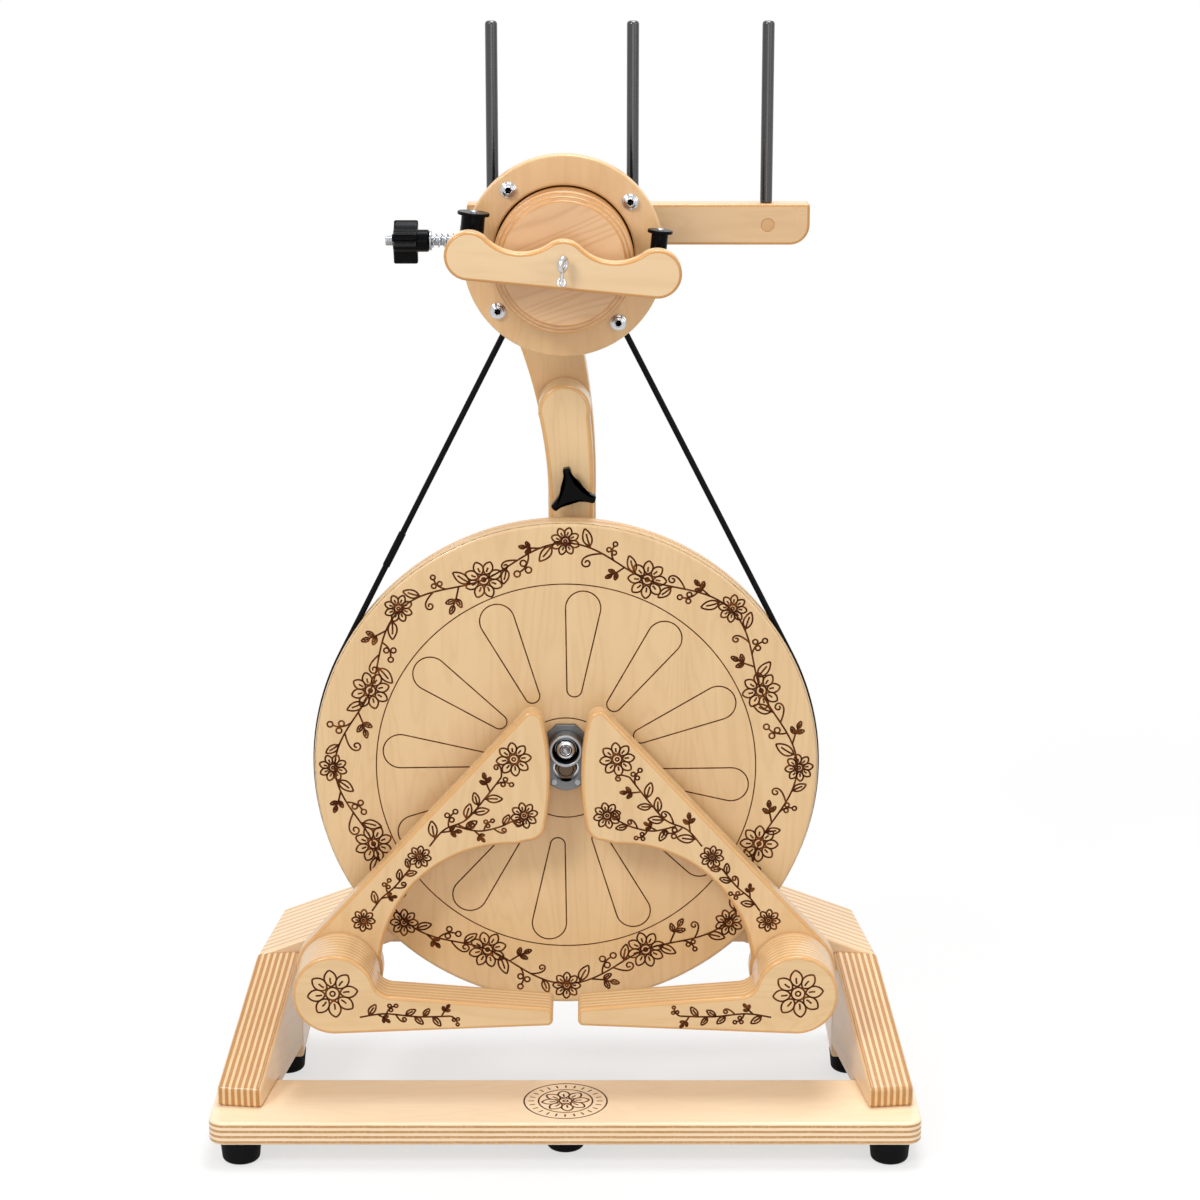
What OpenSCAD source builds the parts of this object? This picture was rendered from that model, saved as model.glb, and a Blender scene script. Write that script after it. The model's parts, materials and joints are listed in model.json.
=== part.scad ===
// Double treadle spinning wheel with a ring flyer, a bobbin brake and a bar of bobbin rods.
// Millimetres. X runs across the base, Y from the spinner to the back, Z up.
// The origin lies on the floor under the middle of the base.

/* [Base] */
// Width of the front board, the widest piece
base_w = 560; // [540:1:620]
// Depth from the board's front edge to the bridge's back
base_d = 265; // [255:1:300]
// Thickness of one thick plywood sheet
ply = 19; // [18:0.5:21]
// Thickness of one thin plywood sheet, in the treadles and side arms
thin_ply = 18; // [16:0.5:19]
// Depth of the front board
board_d = 84; // [78:1:92]
// Corner radius of the front board
board_corner_r = 13; // [8:1:18]
// How far each bridge leg stands inside the board's end
bridge_inset = 22.5; // [15:0.5:26]
// Height of the bridge's top at the corner of each leg
bridge_end_z = 113.4; // [100:0.2:116]
// Slope of the bridge's top
bridge_slope = 20.2; // [18:0.2:22]
// Depth of the bridge's beam, measured upright
bridge_beam = 30; // [28:1:36]
// Height of the flat underside at the middle of the bridge
soffit_z = 122; // [112:1:126]
// Corner radius where a leg meets the beam
bridge_corner_r = 6; // [4:1:10]
// Height of the square nose of a side arm
arm_nose = 16; // [12:1:20]
// Distance from the board's front edge to the nose of a side arm
arm_setback = 31; // [26:1:36]
// Depth of the step that hooks a side arm behind the front board
arm_step = 8; // [4:1:12]
// Height of the rubber feet
foot_h = 19; // [16:1:22]
// Radius of a rubber foot at the floor
foot_r = 15; // [13:0.5:17]

/* [Drive wheel] */
// Radius of the drive wheel
wheel_r = 203.4; // [195:0.2:210]
// Thickness of the drive wheel
wheel_t = 22; // [20:1:26]
// Height of the wheel axle above the floor
wheel_z = 284; // [280:1:292]
// Space between the wheel and the post
wheel_gap = 7; // [6:0.5:10]
// Radius of the drive band's cord
band_r = 2.4; // [1.8:0.1:2.8]
// How far the band's middle lies below the rim
band_sink = 0.9; // [0.5:0.1:3.5]
// Radius of the wheel axle
axle_r = 6; // [5:0.5:7]
// Crank throw, from the axle to the roller
crank_throw = 19.5; // [19:0.1:22]
// End radius of the crank plate
plate_r = 18; // [17:0.5:20]
// Thickness of the crank plate
plate_t = 4; // [3.5:0.5:5]
// Radius of the crank roller
roller_r = 13.4; // [12.5:0.1:14.5]
// Thickness of the crank roller
roller_t = 13.8; // [12:0.2:16]

/* [Treadles] */
// Distance of each treadle pivot from the middle
pivot_x = 183; // [176:1:188]
// Height of the treadle pivots
pivot_z = 124.3; // [122:0.1:125]
// Radius of a pivot rod
pivot_r = 5; // [4:0.5:5.5]
// Radius of the pedal's round hub
pedal_hub_r = 33; // [30:1:35]
// Radius of the treadle arm's round foot
arm_hub_r = 35; // [33:1:36]
// Half of the gap between the pedals' tips
pedal_tip_gap = 9.9; // [8:0.1:14]
// Height of a pedal's tip
pedal_tip_h = 15; // [13:0.5:18]
// Radius of the hollow between the pedal and its hub
pedal_fillet_r = 15; // [10:1:18]
// Half of the gap between the treadle arms at the roller
arm_gap = 12.3; // [11:0.1:13]

/* [Post and neck] */
// Height of the flyer axis above the wheel axle
head_rise = 420; // [412:1:440]
// Width of the post at the wheel's top
post_w = 38.6; // [36:0.2:42]
// Sideways offset of the post at the wheel's top
post_shift = 4.8; // [3:0.2:6]
// Width of the post around the axle
post_low_w = 52; // [46:1:60]
// Radius of the neck's round head
head_r = 56; // [52:1:58]
// Sideways offset of the neck's head
head_shift = -14; // [-16:0.5:-12]
// Reach of a wing of the clamp knob
knob_r = 20; // [17:0.5:22]
// Radius of the clamp stud
stud_r = 4; // [3:0.5:4.5]
// How far the neck slides up
slide_up = 8; // [4:1:10]
// How far the neck slides down
slide_down = 12; // [6:1:14]

/* [Bobbin rods] */
// Left end of the bar
bar_left = -77; // [-80:1:-74]
// Right end of the bar
bar_right = 192; // [180:1:205]
// Height of the bar
bar_h = 32.1; // [30:0.1:36]
// Thickness of the bar
bar_t = 22; // [20:1:24]
// Radius of a bobbin rod
kate_r = 4.75; // [4:0.25:5.5]
// Length of a bobbin rod above the bar
kate_len = 140.5; // [120:0.5:160]
// Place of the left bobbin rod
kate_x = -57; // [-60:1:-54]
// Spacing of the left and the middle bobbin rod
kate_pitch = 110; // [100:0.5:112]
// Spacing of the middle and the right bobbin rod
kate_pitch_right = 105; // [98:0.5:110]

/* [Flyer and bobbin] */
// Outer radius of the flyer ring
ring_r = 76.5; // [75:0.5:80]
// Radius of the hole in the flyer ring
ring_hole_r = 53.5; // [53:0.1:56]
// Thickness of the flyer ring
ring_t = 15; // [13:1:18]
// Turn of the flyer in the rest pose
flyer_rest = 5.5; // [0:0.5:10]
// Distance between the flyer rods
rod_span = 139; // [136:1:142]
// Radius of a flyer rod
flyer_rod_r = 4; // [3:0.5:4.5]
// Clear distance from the flyer ring to the flyer bar
flyer_reach = 57; // [52:1:64]
// Radius of the flyer bar's lobes
lobe_r = 18; // [16:0.5:20]
// Thickness of the flyer bar
flyer_bar_t = 16; // [14:1:18]
// How far the bar's upper edge dips between its lobes
bar_dip = 12.6; // [10:0.2:14]
// Band radius on the small groove of the whorl
whorl_r = 11.5; // [11:0.1:14]
// Band radius on the large groove of the whorl
whorl_large_r = 17; // [16:0.5:22]
// Radius of the spindle
spindle_r = 5; // [4:0.5:5.5]
// Radius of the bobbin's front flange
bobbin_r = 53; // [49:0.5:54]
// Radius of the bobbin's core
core_r = 14; // [10:0.5:18]
// Length of the bobbin
bobbin_len = 49; // [46:1:52]
// Body radius of the left yarn guide
left_guide_r = 8.8; // [7:0.2:9]
// Body radius of the right yarn guide
right_guide_r = 6.2; // [5.6:0.2:7]

/* [Brake] */
// Radius of the brake drum at the bottom of its groove
drum_r = 21; // [18:0.5:23]
// Radius of the brake cord
cord_r = 0.9; // [0.6:0.1:1.1]
// Reach of a wing of the brake knob
brake_knob_r = 18.5; // [15:0.5:19]
// Thickness of the brake knob
brake_knob_t = 19; // [15:0.5:20]
// Radius of the brake bolt
brake_bolt_r = 3.7; // [3:0.1:4]
// Coil radius of the brake spring, at the middle of the wire
spring_coil_r = 5.1; // [5:0.1:5.6]
// Wire radius of the brake spring
spring_wire_r = 0.55; // [0.4:0.05:0.65]
// Turns of the brake spring
spring_turns = 5; // [4:1:6]
// Length of the brake spring at rest
spring_len = 23.8; // [22:0.2:28]

/* [Hidden] */
$fn = 64;

// Clearances
run_gap = 0.04;
seat_gap = 0.1;
body_gap = 0.3;
plane_gap = 0.6;
slide_gap = 0.2;
knob_wheel_gap = 1.1;

// How far pieces of one outline reach into each other where they would only touch
tuck = 0.05;

// Planes from the back of the base to the front
front_y = -base_d / 2;
bridge_d = 5 * ply;
bridge_y = base_d / 2 - bridge_d;
post_d = 2 * ply;
post_y = bridge_y;
wheel_y = post_y - wheel_gap - wheel_t;
band_y = wheel_y + wheel_t / 2;
plate_y = wheel_y - plate_t;
roller_back_y = plate_y - plane_gap;
roller_y = roller_back_y - roller_t;
arm_y = roller_y - plane_gap - thin_ply;
spacer_y = arm_y - thin_ply;
pedal_t = 2 * thin_ply;
pedal_y = spacer_y - pedal_t;
neck_y = post_y + post_d + slide_gap;
neck_d = 2 * ply;
bar_y = neck_y - bar_t;
kate_y = bar_y + bar_t / 2;

// Base
board_z = foot_h + ply;
slope = tan(bridge_slope);
bridge_w = base_w - 2 * bridge_inset;
bridge_corner_x = bridge_w / 2 - bridge_corner_r;
side_arm_t = 2 * thin_ply;
leg_in_x = bridge_w / 2 - side_arm_t;
apex_z = bridge_top(0);
arm_front_y = front_y + arm_setback;
arm_reach = bridge_y - arm_front_y;
arm_edge = 4;
toe_in = atan((bridge_inset - arm_edge) / arm_reach);
foot_round = 4;
foot_screw_r = 2;
foot_screw_head_r = 4;
foot_screw_head_t = 3;
foot_screw_grip = 12;
foot_inset = 9;
foot_flare = 1.5;
foot_front_y = front_y + foot_r + 3;
mid_foot_step = 22;
rear_foot_step = foot_r + 7.5;
rear_foot_x = (bridge_w - side_arm_t - rear_foot_step * tan(toe_in)) / 2;
foot_places = [
    [-(base_w / 2 - foot_r - foot_inset), foot_front_y],
    [base_w / 2 - foot_r - foot_inset, foot_front_y],
    [0, foot_front_y + mid_foot_step],
    [-rear_foot_x, bridge_y + rear_foot_step],
    [rear_foot_x, bridge_y + rear_foot_step]
];
bolt_r = 3;
bolt_head_r = 5.5;
bolt_head_t = 4;
bolt_sink = 4.5;
board_bolt_grip = 26;
board_bolt_steps = [14, 40];
end_bolt_sink = 50;
end_bolt_grip = 40;
end_bolt_rows = [50, 82];
end_bolt_shift = 4;
end_bolt_x = (bridge_w - side_arm_t) / 2 - end_bolt_shift;
post_bolt_x = 13;
post_bolt_rise = 40;
post_bolt_z = soffit_z + post_bolt_rise;
post_bolt_grip = 30;
soffit_x = bridge_corner_x - (soffit_z + bridge_beam - bridge_end_z) / slope;

// Treadle pivots
bush_r = pivot_r + 2;
bush_len = 24;
bush_flange_r = pivot_r + 3.8;
bush_flange_t = 2;
pivot_collar_r = pivot_r + 2.2;
pivot_collar_t = 8;
pivot_back_y = bridge_y + bridge_d - pivot_collar_t - 4;
pivot_end_y = pivot_back_y + body_gap + pivot_collar_t;

// Outline of the left pedal
pedal_tip_x = -pedal_tip_gap;
pedal_low_z = pivot_z - pedal_hub_r + 7;
pedal_high_z = pedal_low_z + pedal_tip_h;
pedal_corner_r = 4.5;
pedal_root_z = pivot_z - 1.2;
pedal_fillet_z = pedal_root_z + pedal_fillet_r;
pedal_fillet_turn = acos((pedal_fillet_z - pivot_z) / (pedal_hub_r + pedal_fillet_r));
pedal_fillet_x = -pivot_x + (pedal_hub_r + pedal_fillet_r) * sin(pedal_fillet_turn);
pedal_touch = [
    pedal_fillet_x - pedal_fillet_r * sin(pedal_fillet_turn),
    pedal_fillet_z - pedal_fillet_r * cos(pedal_fillet_turn)
];

// Drive wheel
band_wheel_r = wheel_r - band_sink;
groove_r = band_r + body_gap;
wheel_chamfer = 2;
bearing_t = 8;
wheel_bearing_r = axle_r + 6;
wheel_bearing_inset = 0.5;
crank_z = wheel_z + crank_throw;
crank_bolt_r = 4;
crank_head_r = 8.2;
crank_head_t = 5.4;
crank_bolt_grip = 10;
roller_cup_r = roller_r - 2.6;
roller_web = 5.6;
plate_hole_r = axle_r + 4.5;
plate_flat = plate_r * tan(22.5);
plate_screw_r = 1.6;
plate_screw_head_r = 2.6;
plate_screw_pitch_r = wheel_bearing_r + plate_screw_r + 1;
plate_screw_head_t = 1.4;
plate_screw_grip = 9;
plate_screw_turn = 40;
axle_nut_r = axle_r + 3.2;
axle_nut_t = plate_t;
axle_head_r = 10;
axle_head_t = 7;
axle_spacer_r = axle_r + 3;

// Outline of the left treadle arm
arm_tip_r = 9;
arm_tip_step = 5.2;
arm_tip_rise = 29.5;
arm_tip = [-arm_gap - arm_tip_step - arm_tip_r, crank_z + arm_tip_rise];
arm_heel_r = 14;
arm_heel_drop = 36;
arm_heel_step = 3.7;
arm_heel = [-arm_gap - arm_heel_step - arm_heel_r, wheel_z - arm_heel_drop];
arm_bulge_r = 220;
arm_bulge_z = (arm_tip[1] + arm_heel[1]) / 2 - 3.5;
arm_hollow_r = arm_heel[1] - arm_heel_r - pivot_z - 2.6;
arm_hollow_x = -pivot_x + arm_hub_r - 2 + arm_hollow_r;
arm_line = arm_tip - [-pivot_x, pivot_z];
arm_side = atan2(arm_line[1], arm_line[0]) + acos((arm_hub_r - arm_tip_r) / norm(arm_line));
arm_out = [cos(arm_side), sin(arm_side)];

// Post, neck and clamp
stud_z = wheel_z + wheel_r + knob_r + knob_wheel_gap;
post_bottom_z = soffit_z + 8;
shoulder_drop = 40;
shoulder_len = 70;
post_shoulder = [stud_z - shoulder_drop, stud_z - shoulder_drop - shoulder_len];
arch_r = post_w / 2 + 1.6;
arch_rise = 62.3;
arch_z = stud_z + arch_rise;
arch_x = post_shift - 5.6;
lap_inset = 1.4;
bend_drop = 18.5;
bend_z = stud_z - bend_drop;
axis_z = wheel_z + head_rise;
head_z = axis_z - 4;
edge_left = post_shift - post_w / 2;
edge_right = post_shift + post_w / 2;
bend_run = head_shift - edge_left;
bend_rise = head_z - bend_z;
left_bend_r = (pow(bend_run, 2) + pow(bend_rise, 2) - pow(head_r, 2)) / (2 * (head_r - bend_run));
right_bend_r = 574;
right_bend_lift = 15;
right_bend_z = bend_z + right_bend_lift;
neck_tail = 55;
neck_bottom_z = stud_z - neck_tail;
slot_r = stud_r + body_gap;
wing_half = 3.2;
wing_waist = 8.2;
knob_t = 10;
knob_hub_r = 9;
knob_stem = 8;
clamp_plate_w = 26;
clamp_plate_h = 40;
clamp_plate_t = 4;

// Bar and bobbin rods
bar_z = axis_z - 3.6;
bar_corner_r = 15.5;
bar_notch_r = spindle_r + 7;
kate_depth = 24;
kate_tenon_r = kate_r - 0.75;
kate_tip = 1.5;
kate_places = [kate_x, kate_x + kate_pitch, kate_x + kate_pitch + kate_pitch_right];
plug_r = 5;
plug_t = 6;
plug_inset = 33;
plug_x = bar_right - plug_inset;
plug_drop = 16.4;
bar_screw_r = 2.5;
bar_screw_head_r = 4.5;
bar_screw_head_t = 3;
bar_screw_grip = 12;
bar_screw_x = [-42, 24];
bar_screw_rise = 20;

// Flyer
hub_flange_r = ring_r - 6.5;
hub_flange_t = 6;
hub_sleeve_r = 20;
whorl_front = 16;
whorl_back = 6;
whorl_lip = 3;
whorl_y = band_y - whorl_front;
whorl_step = 10;
hub_sleeve = 20;
hub_y = whorl_y - hub_sleeve - hub_flange_t;
ring_y = hub_y - ring_t;
flyer_bar_y = ring_y - flyer_reach - flyer_bar_t;
small_bearing_r = 13;
rod_x = rod_span / 2;
rod_z = 3.6;
rod_sink = 11;
rod_seat = 12;
dip_r = (pow(rod_x / 2, 2) + pow(bar_dip, 2)) / (2 * bar_dip) - lobe_r;
dip_z = rod_z + lobe_r - bar_dip + dip_r;
fill_z = rod_z + lobe_r / (lobe_r + dip_r) * (dip_z - rod_z);
ring_screw_pitch_r = 65;
ring_screw_r = 2.5;
ring_screw_head_r = 5.4;
ring_screw_head_t = 3.4;
ring_washer_r = 6.2;
ring_washer_t = 1;
eye_ring_r = 4.7;
eye_wire_r = 1.9;
eye_stem_r = 1.3;
eye_turn = 26;
eye_z = 5.6;
eye_shank_z = -8.6;
eye_out = 9;
eye_sink = 9;
eye_ferrule_r = 3.4;
guide_tube_r = 8;
guide_len = 17;
guide_top_z = 31.3;
guide_flange_t = 2.5;
guide_flange_out = 3.2;
guide_step = 16;
guide_y = ring_y - flyer_reach + guide_step;

// Spindle and bobbin
drum_t = 16;
drum_y = bar_y - 4 - drum_t;
bobbin_y = hub_y - 6 - bobbin_len;
bobbin_back_gap = 1.3;
bobbin_back_r = ring_hole_r - bobbin_back_gap;
flange_t = 13;
back_flange_t = 8;
moulding_in = 3;
moulding_deep = 2.5;
spindle_y = bobbin_y + moulding_deep * 2;
shoulder_r = spindle_r + 2;
drum_hub_r = spindle_r + 3;
drum_rim = 3;
collar_r = 9;
collar_t = 7.6;
spindle_end_y = neck_y + neck_d + body_gap + collar_t;

// Brake
cord_path_r = drum_r + cord_r + body_gap;
brake_y = drum_y + drum_t / 2;
brake_rise = 1.4;
brake_z = axis_z + brake_rise;
eye_x = -48;
bolt_eye_r = 6.8;
bolt_eye_wire = 1.5;
bracket_t = 3;
bracket_x = bar_left - bracket_t;
bracket_end_r = 10.5;
bracket_low_z = bar_z - 1.4;
bracket_high_z = brake_z + bracket_end_r;
bracket_screw_z = brake_z + 4.5;
bracket_screw_r = 2.5;
bracket_screw_head_r = 5;
bracket_screw_head_t = 3;
bracket_screw_grip = 16;
spring_x = bracket_x - spring_len;
washer_t = 1.5;
washer_r = 7.5;
washer_x = spring_x - body_gap - washer_t;
brake_collar_r = 8.7;
brake_collar_t = 9.2;
brake_knob_x = washer_x - body_gap - brake_collar_t - brake_knob_t;
bolt_end_x = brake_knob_x - 6;
spring_sides = 6;
spring_rings = 8;
cord_reach = norm([eye_x, brake_z - axis_z]);
cord_turn = atan2(brake_z - axis_z, eye_x);
cord_half = acos(cord_path_r / cord_reach);
cord_join = 0.6;
cord_knot_r = cord_r + 0.6;

// Band geometry
band_lean = asin((band_wheel_r - whorl_r) / head_rise);
band_run = head_rise * cos(band_lean);
band_join = 0.6;

// Colours
maple = "burlywood";
birch = "wheat";
black = "#1c1c1e";
steel = "silver";
bronze = "peru";

// Height of the bridge's top at a distance x from the middle
function bridge_top(x) = bridge_end_z + slope * (bridge_corner_x - abs(x));

// Middle of the left side arm at the plane y
function side_arm_x(y) = -bridge_w / 2 + side_arm_t / 2 - (bridge_y - y) * tan(toe_in);

// Distance of the cutting circles that leave three wings of reach r on a knob
function wing_cut(r) =
    (r * r + wing_half * wing_half - wing_waist * wing_waist)
    / (r + 2 * wing_half * sin(60) - 2 * wing_waist);

// A flat sheet in the XZ plane, from y to y + t
module slab(y, t) {
    translate([0, y + t, 0])
        rotate([90, 0, 0])
            linear_extrude(height = t)
                children();
}

// A piece turned about an axis along Y, with its profile drawn as radius and distance from y
module turned(x, y, z) {
    translate([x, y, z])
        rotate([-90, 0, 0])
            rotate_extrude()
                children();
}

// A round bar along Y
module shaft(x, y, z, r, len) {
    translate([x, y, z])
        rotate([-90, 0, 0])
            cylinder(r = r, h = len);
}

// A round bar along X
module shaft_x(x, y, z, r, len) {
    translate([x, y, z])
        rotate([0, 90, 0])
            cylinder(r = r, h = len);
}

// A rectangle from one corner to another
module span(low, high) {
    translate(low)
        square(high - low);
}

// A ball bearing with shielded faces, along Y
module bearing(x, y, z, outer_r, bore_r) {
    shield_in = bore_r + (outer_r - bore_r) * 0.25;
    shield_out = bore_r + (outer_r - bore_r) * 0.75;
    shield_sink = 0.5;
    turned(x, y, z)
        difference() {
            span([bore_r, 0], [outer_r, bearing_t]);
            span([shield_in, -1], [shield_out, shield_sink]);
            span([shield_in, bearing_t - shield_sink], [shield_out, bearing_t + 1]);
        }
}

// A screw along Y with its round head at y and its shank behind it
module screw_back(x, y, z, head_r, head_t, r, grip) {
    shaft(x, y, z, head_r, head_t);
    shaft(x, y, z, r, head_t + grip);
}

// A screw along Y with its round head behind and its shank running forward from y
module screw_front(x, y, z, head_r, head_t, r, grip) {
    shaft(x, y, z, head_r, head_t);
    shaft(x, y - grip, z, r, grip + head_t);
}

// Outline of a three-winged knob
module wings(r) {
    cut = wing_cut(r);
    difference() {
        circle(r = r);
        for (turn = [60 : 120 : 300])
            rotate(turn)
                translate([cut, 0])
                    circle(r = cut - wing_waist);
    }
}

// Places a piece in the turned frame of the flyer, whose axis is then the Y axis
module on_flyer() {
    translate([0, 0, axis_z])
        rotate([0, flyer_rest, 0])
            children();
}

module front_board() {
    corner_x = base_w / 2 - board_corner_r;
    color(birch)
        difference() {
            translate([0, front_y, foot_h])
                linear_extrude(height = ply)
                    union() {
                        span([-base_w / 2, board_corner_r], [base_w / 2, board_d - board_corner_r]);
                        span([-corner_x, 0], [corner_x, board_d]);
                        for (x = [-corner_x, corner_x], y = [board_corner_r, board_d - board_corner_r])
                            translate([x, y])
                                circle(r = board_corner_r);
                    }
            for (i = [0 : 2])
                foot_screw_hole(foot_places[i]);
            for (side = [-1, 1], step = board_bolt_steps)
                translate([side * side_arm_x(arm_front_y + step), arm_front_y + step, 0]) {
                    cylinder(r = bolt_r + seat_gap, h = board_z + 1);
                    cylinder(r = bolt_head_r + seat_gap, h = foot_h + bolt_sink);
                }
        }
}

// Pilot hole for a foot screw, in what the foot stands under
module foot_screw_hole(place) {
    translate([place[0], place[1], foot_h - 1])
        cylinder(r = foot_screw_r + seat_gap, h = foot_screw_grip + 2);
}

module left_side_arm() {
    tail = side_arm_t;
    ramp_rise = bridge_end_z - board_z - arm_nose;
    color(birch)
        difference() {
            translate([-bridge_w / 2, bridge_y, 0])
                rotate([0, 0, -toe_in])
                    rotate([90, 0, 90])
                        linear_extrude(height = side_arm_t)
                            polygon([
                                [tail, board_z - arm_step],
                                [tail, board_z + arm_nose + ramp_rise * (1 + tail / arm_reach)],
                                [0, board_z + arm_nose + ramp_rise],
                                [-arm_reach, board_z + arm_nose],
                                [-arm_reach, board_z - arm_step]
                            ]);
            translate([-base_w, bridge_y, 0])
                cube([2 * base_w, base_d, bridge_end_z * 2]);
            translate([-base_w, front_y - 1, 0])
                cube([2 * base_w, board_d + 1 + seat_gap, board_z]);
            for (step = board_bolt_steps)
                translate([side_arm_x(arm_front_y + step), arm_front_y + step, board_z - 1])
                    cylinder(r = bolt_r + seat_gap, h = board_bolt_grip - ply + bolt_sink + 2);
            end_bolt_holes();
        }
}

module right_side_arm() {
    mirror([1, 0, 0])
        left_side_arm();
}

// Bores for the bolts that draw the left side arm to its leg
module end_bolt_holes() {
    head_y = bridge_y + bridge_d - end_bolt_sink;
    for (z = end_bolt_rows) {
        shaft(-end_bolt_x, bridge_y - end_bolt_grip - 1, z, bolt_r + seat_gap, end_bolt_grip + bridge_d);
        shaft(-end_bolt_x, head_y, z, bolt_head_r + seat_gap, end_bolt_sink + 1);
    }
}

// What is sawn off the bridge's left end so that it runs on in line with the side arm
module bridge_end_cut() {
    translate([-bridge_w / 2 + tuck, bridge_y, 0])
        rotate([0, 0, -toe_in])
            translate([-bridge_d, -bridge_d, 0])
                cube([bridge_d, 3 * bridge_d, 2 * bridge_end_z]);
}

// Outline of the bridge: two legs under a gabled beam
module bridge_outline() {
    corner_z = bridge_end_z - bridge_corner_r / cos(bridge_slope);
    tangent = [sin(bridge_slope), cos(bridge_slope)] * (bridge_corner_r - tuck);
    difference() {
        union() {
            polygon([
                [bridge_w / 2, foot_h],
                [bridge_w / 2 - tuck, corner_z],
                [bridge_corner_x + tangent[0], corner_z + tangent[1]],
                [0, apex_z],
                [-bridge_corner_x - tangent[0], corner_z + tangent[1]],
                [-bridge_w / 2 + tuck, corner_z],
                [-bridge_w / 2, foot_h]
            ]);
            for (side = [-1, 1])
                translate([side * bridge_corner_x, corner_z])
                    circle(r = bridge_corner_r);
        }
        polygon([
            [leg_in_x, foot_h - 1],
            [leg_in_x, bridge_top(leg_in_x) - bridge_beam],
            [soffit_x, soffit_z],
            [-soffit_x, soffit_z],
            [-leg_in_x, bridge_top(leg_in_x) - bridge_beam],
            [-leg_in_x, foot_h - 1]
        ]);
    }
}

module rear_bridge() {
    color(birch)
        difference() {
            slab(bridge_y, bridge_d)
                bridge_outline();
            slab(bridge_y - 1, post_d + 1)
                span([-post_low_w / 2, post_bottom_z], [post_low_w / 2, apex_z + 1]);
            for (side = [-1, 1]) {
                shaft(side * pivot_x, bridge_y - 1, pivot_z, pivot_r + body_gap, bridge_d + 2);
                shaft(side * pivot_x, bridge_y - 1, pivot_z, bush_r, bush_len + 1);
                shaft(side * pivot_x, pivot_back_y - bush_len, pivot_z, bush_r, bush_len + 1);
                shaft(side * pivot_x, pivot_back_y, pivot_z, pivot_collar_r + body_gap, bridge_d);
            }
            bridge_end_cut();
            end_bolt_holes();
            mirror([1, 0, 0]) {
                bridge_end_cut();
                end_bolt_holes();
            }
            for (i = [3, 4])
                foot_screw_hole(foot_places[i]);
            for (side = [-1, 1])
                shaft(
                    side * post_bolt_x, bridge_y, post_bolt_z,
                    bolt_r + seat_gap, post_d + post_bolt_grip + 1
                );
        }
}

// Outline shared by the post's upper end and the neck, drawn in by inset at both edges
module leaning_strip(low_z, high_z, inset) {
    left = edge_left + inset;
    right = edge_right - inset;
    union() {
        span([left, low_z], [right, bend_z]);
        difference() {
            intersection() {
                span([left - bend_rise, bend_z - 1], [right, high_z]);
                translate([right - right_bend_r, right_bend_z])
                    circle(r = right_bend_r, $fn = 180);
            }
            translate([left - left_bend_r, bend_z])
                circle(r = left_bend_r, $fn = 180);
        }
    }
}

module post() {
    color(maple)
        difference() {
            slab(post_y, post_d)
                union() {
                    leaning_strip(post_shoulder[1], arch_z, lap_inset);
                    translate([arch_x, arch_z])
                        circle(r = arch_r);
                    polygon([
                        [post_low_w / 2, post_bottom_z],
                        [post_low_w / 2, post_shoulder[1]],
                        [edge_right - lap_inset - 1, post_shoulder[0]],
                        [edge_left + lap_inset + 1, post_shoulder[0]],
                        [-post_low_w / 2, post_shoulder[1]],
                        [-post_low_w / 2, post_bottom_z]
                    ]);
                }
            shaft(0, post_y - 1, wheel_z, axle_r + seat_gap, post_d + 2);
            shaft(post_shift, post_y - 1, stud_z, stud_r + body_gap, post_d + 2);
            for (side = [-1, 1]) {
                shaft(side * post_bolt_x, post_y - 1, post_bolt_z, bolt_r + seat_gap, post_d + 2);
                shaft(side * post_bolt_x, post_y - 1, post_bolt_z, bolt_head_r + seat_gap, bolt_head_t + 2);
            }
        }
}

module rubber_feet() {
    color(black)
        for (place = foot_places)
            translate([place[0], place[1], 0])
                rotate_extrude()
                    difference() {
                        union() {
                            polygon([
                                [0, foot_round],
                                [foot_r, foot_round],
                                [foot_r + foot_flare, foot_h],
                                [0, foot_h]
                            ]);
                            span([0, 0], [foot_r - foot_round, foot_h]);
                            translate([foot_r - foot_round, foot_round])
                                circle(r = foot_round);
                        }
                        span([-1, -1], [foot_screw_r + seat_gap, foot_h + 1]);
                        span([-1, -1], [foot_screw_head_r + seat_gap, foot_h / 2]);
                    }
}

module foot_screws() {
    color(steel)
        for (place = foot_places)
            translate([place[0], place[1], foot_h / 2 - foot_screw_head_t])
                union() {
                    cylinder(r = foot_screw_head_r, h = foot_screw_head_t);
                    cylinder(r = foot_screw_r, h = foot_screw_head_t + foot_h / 2 + foot_screw_grip);
                }
}

module base_bolts() {
    head_y = bridge_y + bridge_d - end_bolt_sink;
    color(steel)
        for (side = [-1, 1]) {
            for (step = board_bolt_steps)
                translate([
                    side * side_arm_x(arm_front_y + step),
                    arm_front_y + step,
                    foot_h + bolt_sink - bolt_head_t
                ])
                    union() {
                        cylinder(r = bolt_head_r, h = bolt_head_t);
                        cylinder(r = bolt_r, h = bolt_head_t + board_bolt_grip);
                    }
            for (z = end_bolt_rows)
                screw_front(
                    side * end_bolt_x, head_y, z,
                    bolt_head_r, bolt_head_t, bolt_r, bridge_d - end_bolt_sink + end_bolt_grip
                );
        }
}

module post_bolts() {
    color(steel)
        for (side = [-1, 1])
            screw_back(
                side * post_bolt_x, post_y + 1, post_bolt_z,
                bolt_head_r, bolt_head_t, bolt_r, post_d - bolt_head_t + post_bolt_grip
            );
}

module wheel_axle() {
    front = wheel_y - axle_nut_t + wheel_bearing_inset;
    color(steel)
        union() {
            shaft(0, front, wheel_z, axle_r, post_y + post_d - front);
            translate([0, post_y + post_d, wheel_z])
                rotate([-90, 0, 0])
                    cylinder(r = axle_head_r, h = axle_head_t, $fn = 6);
        }
}

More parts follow.
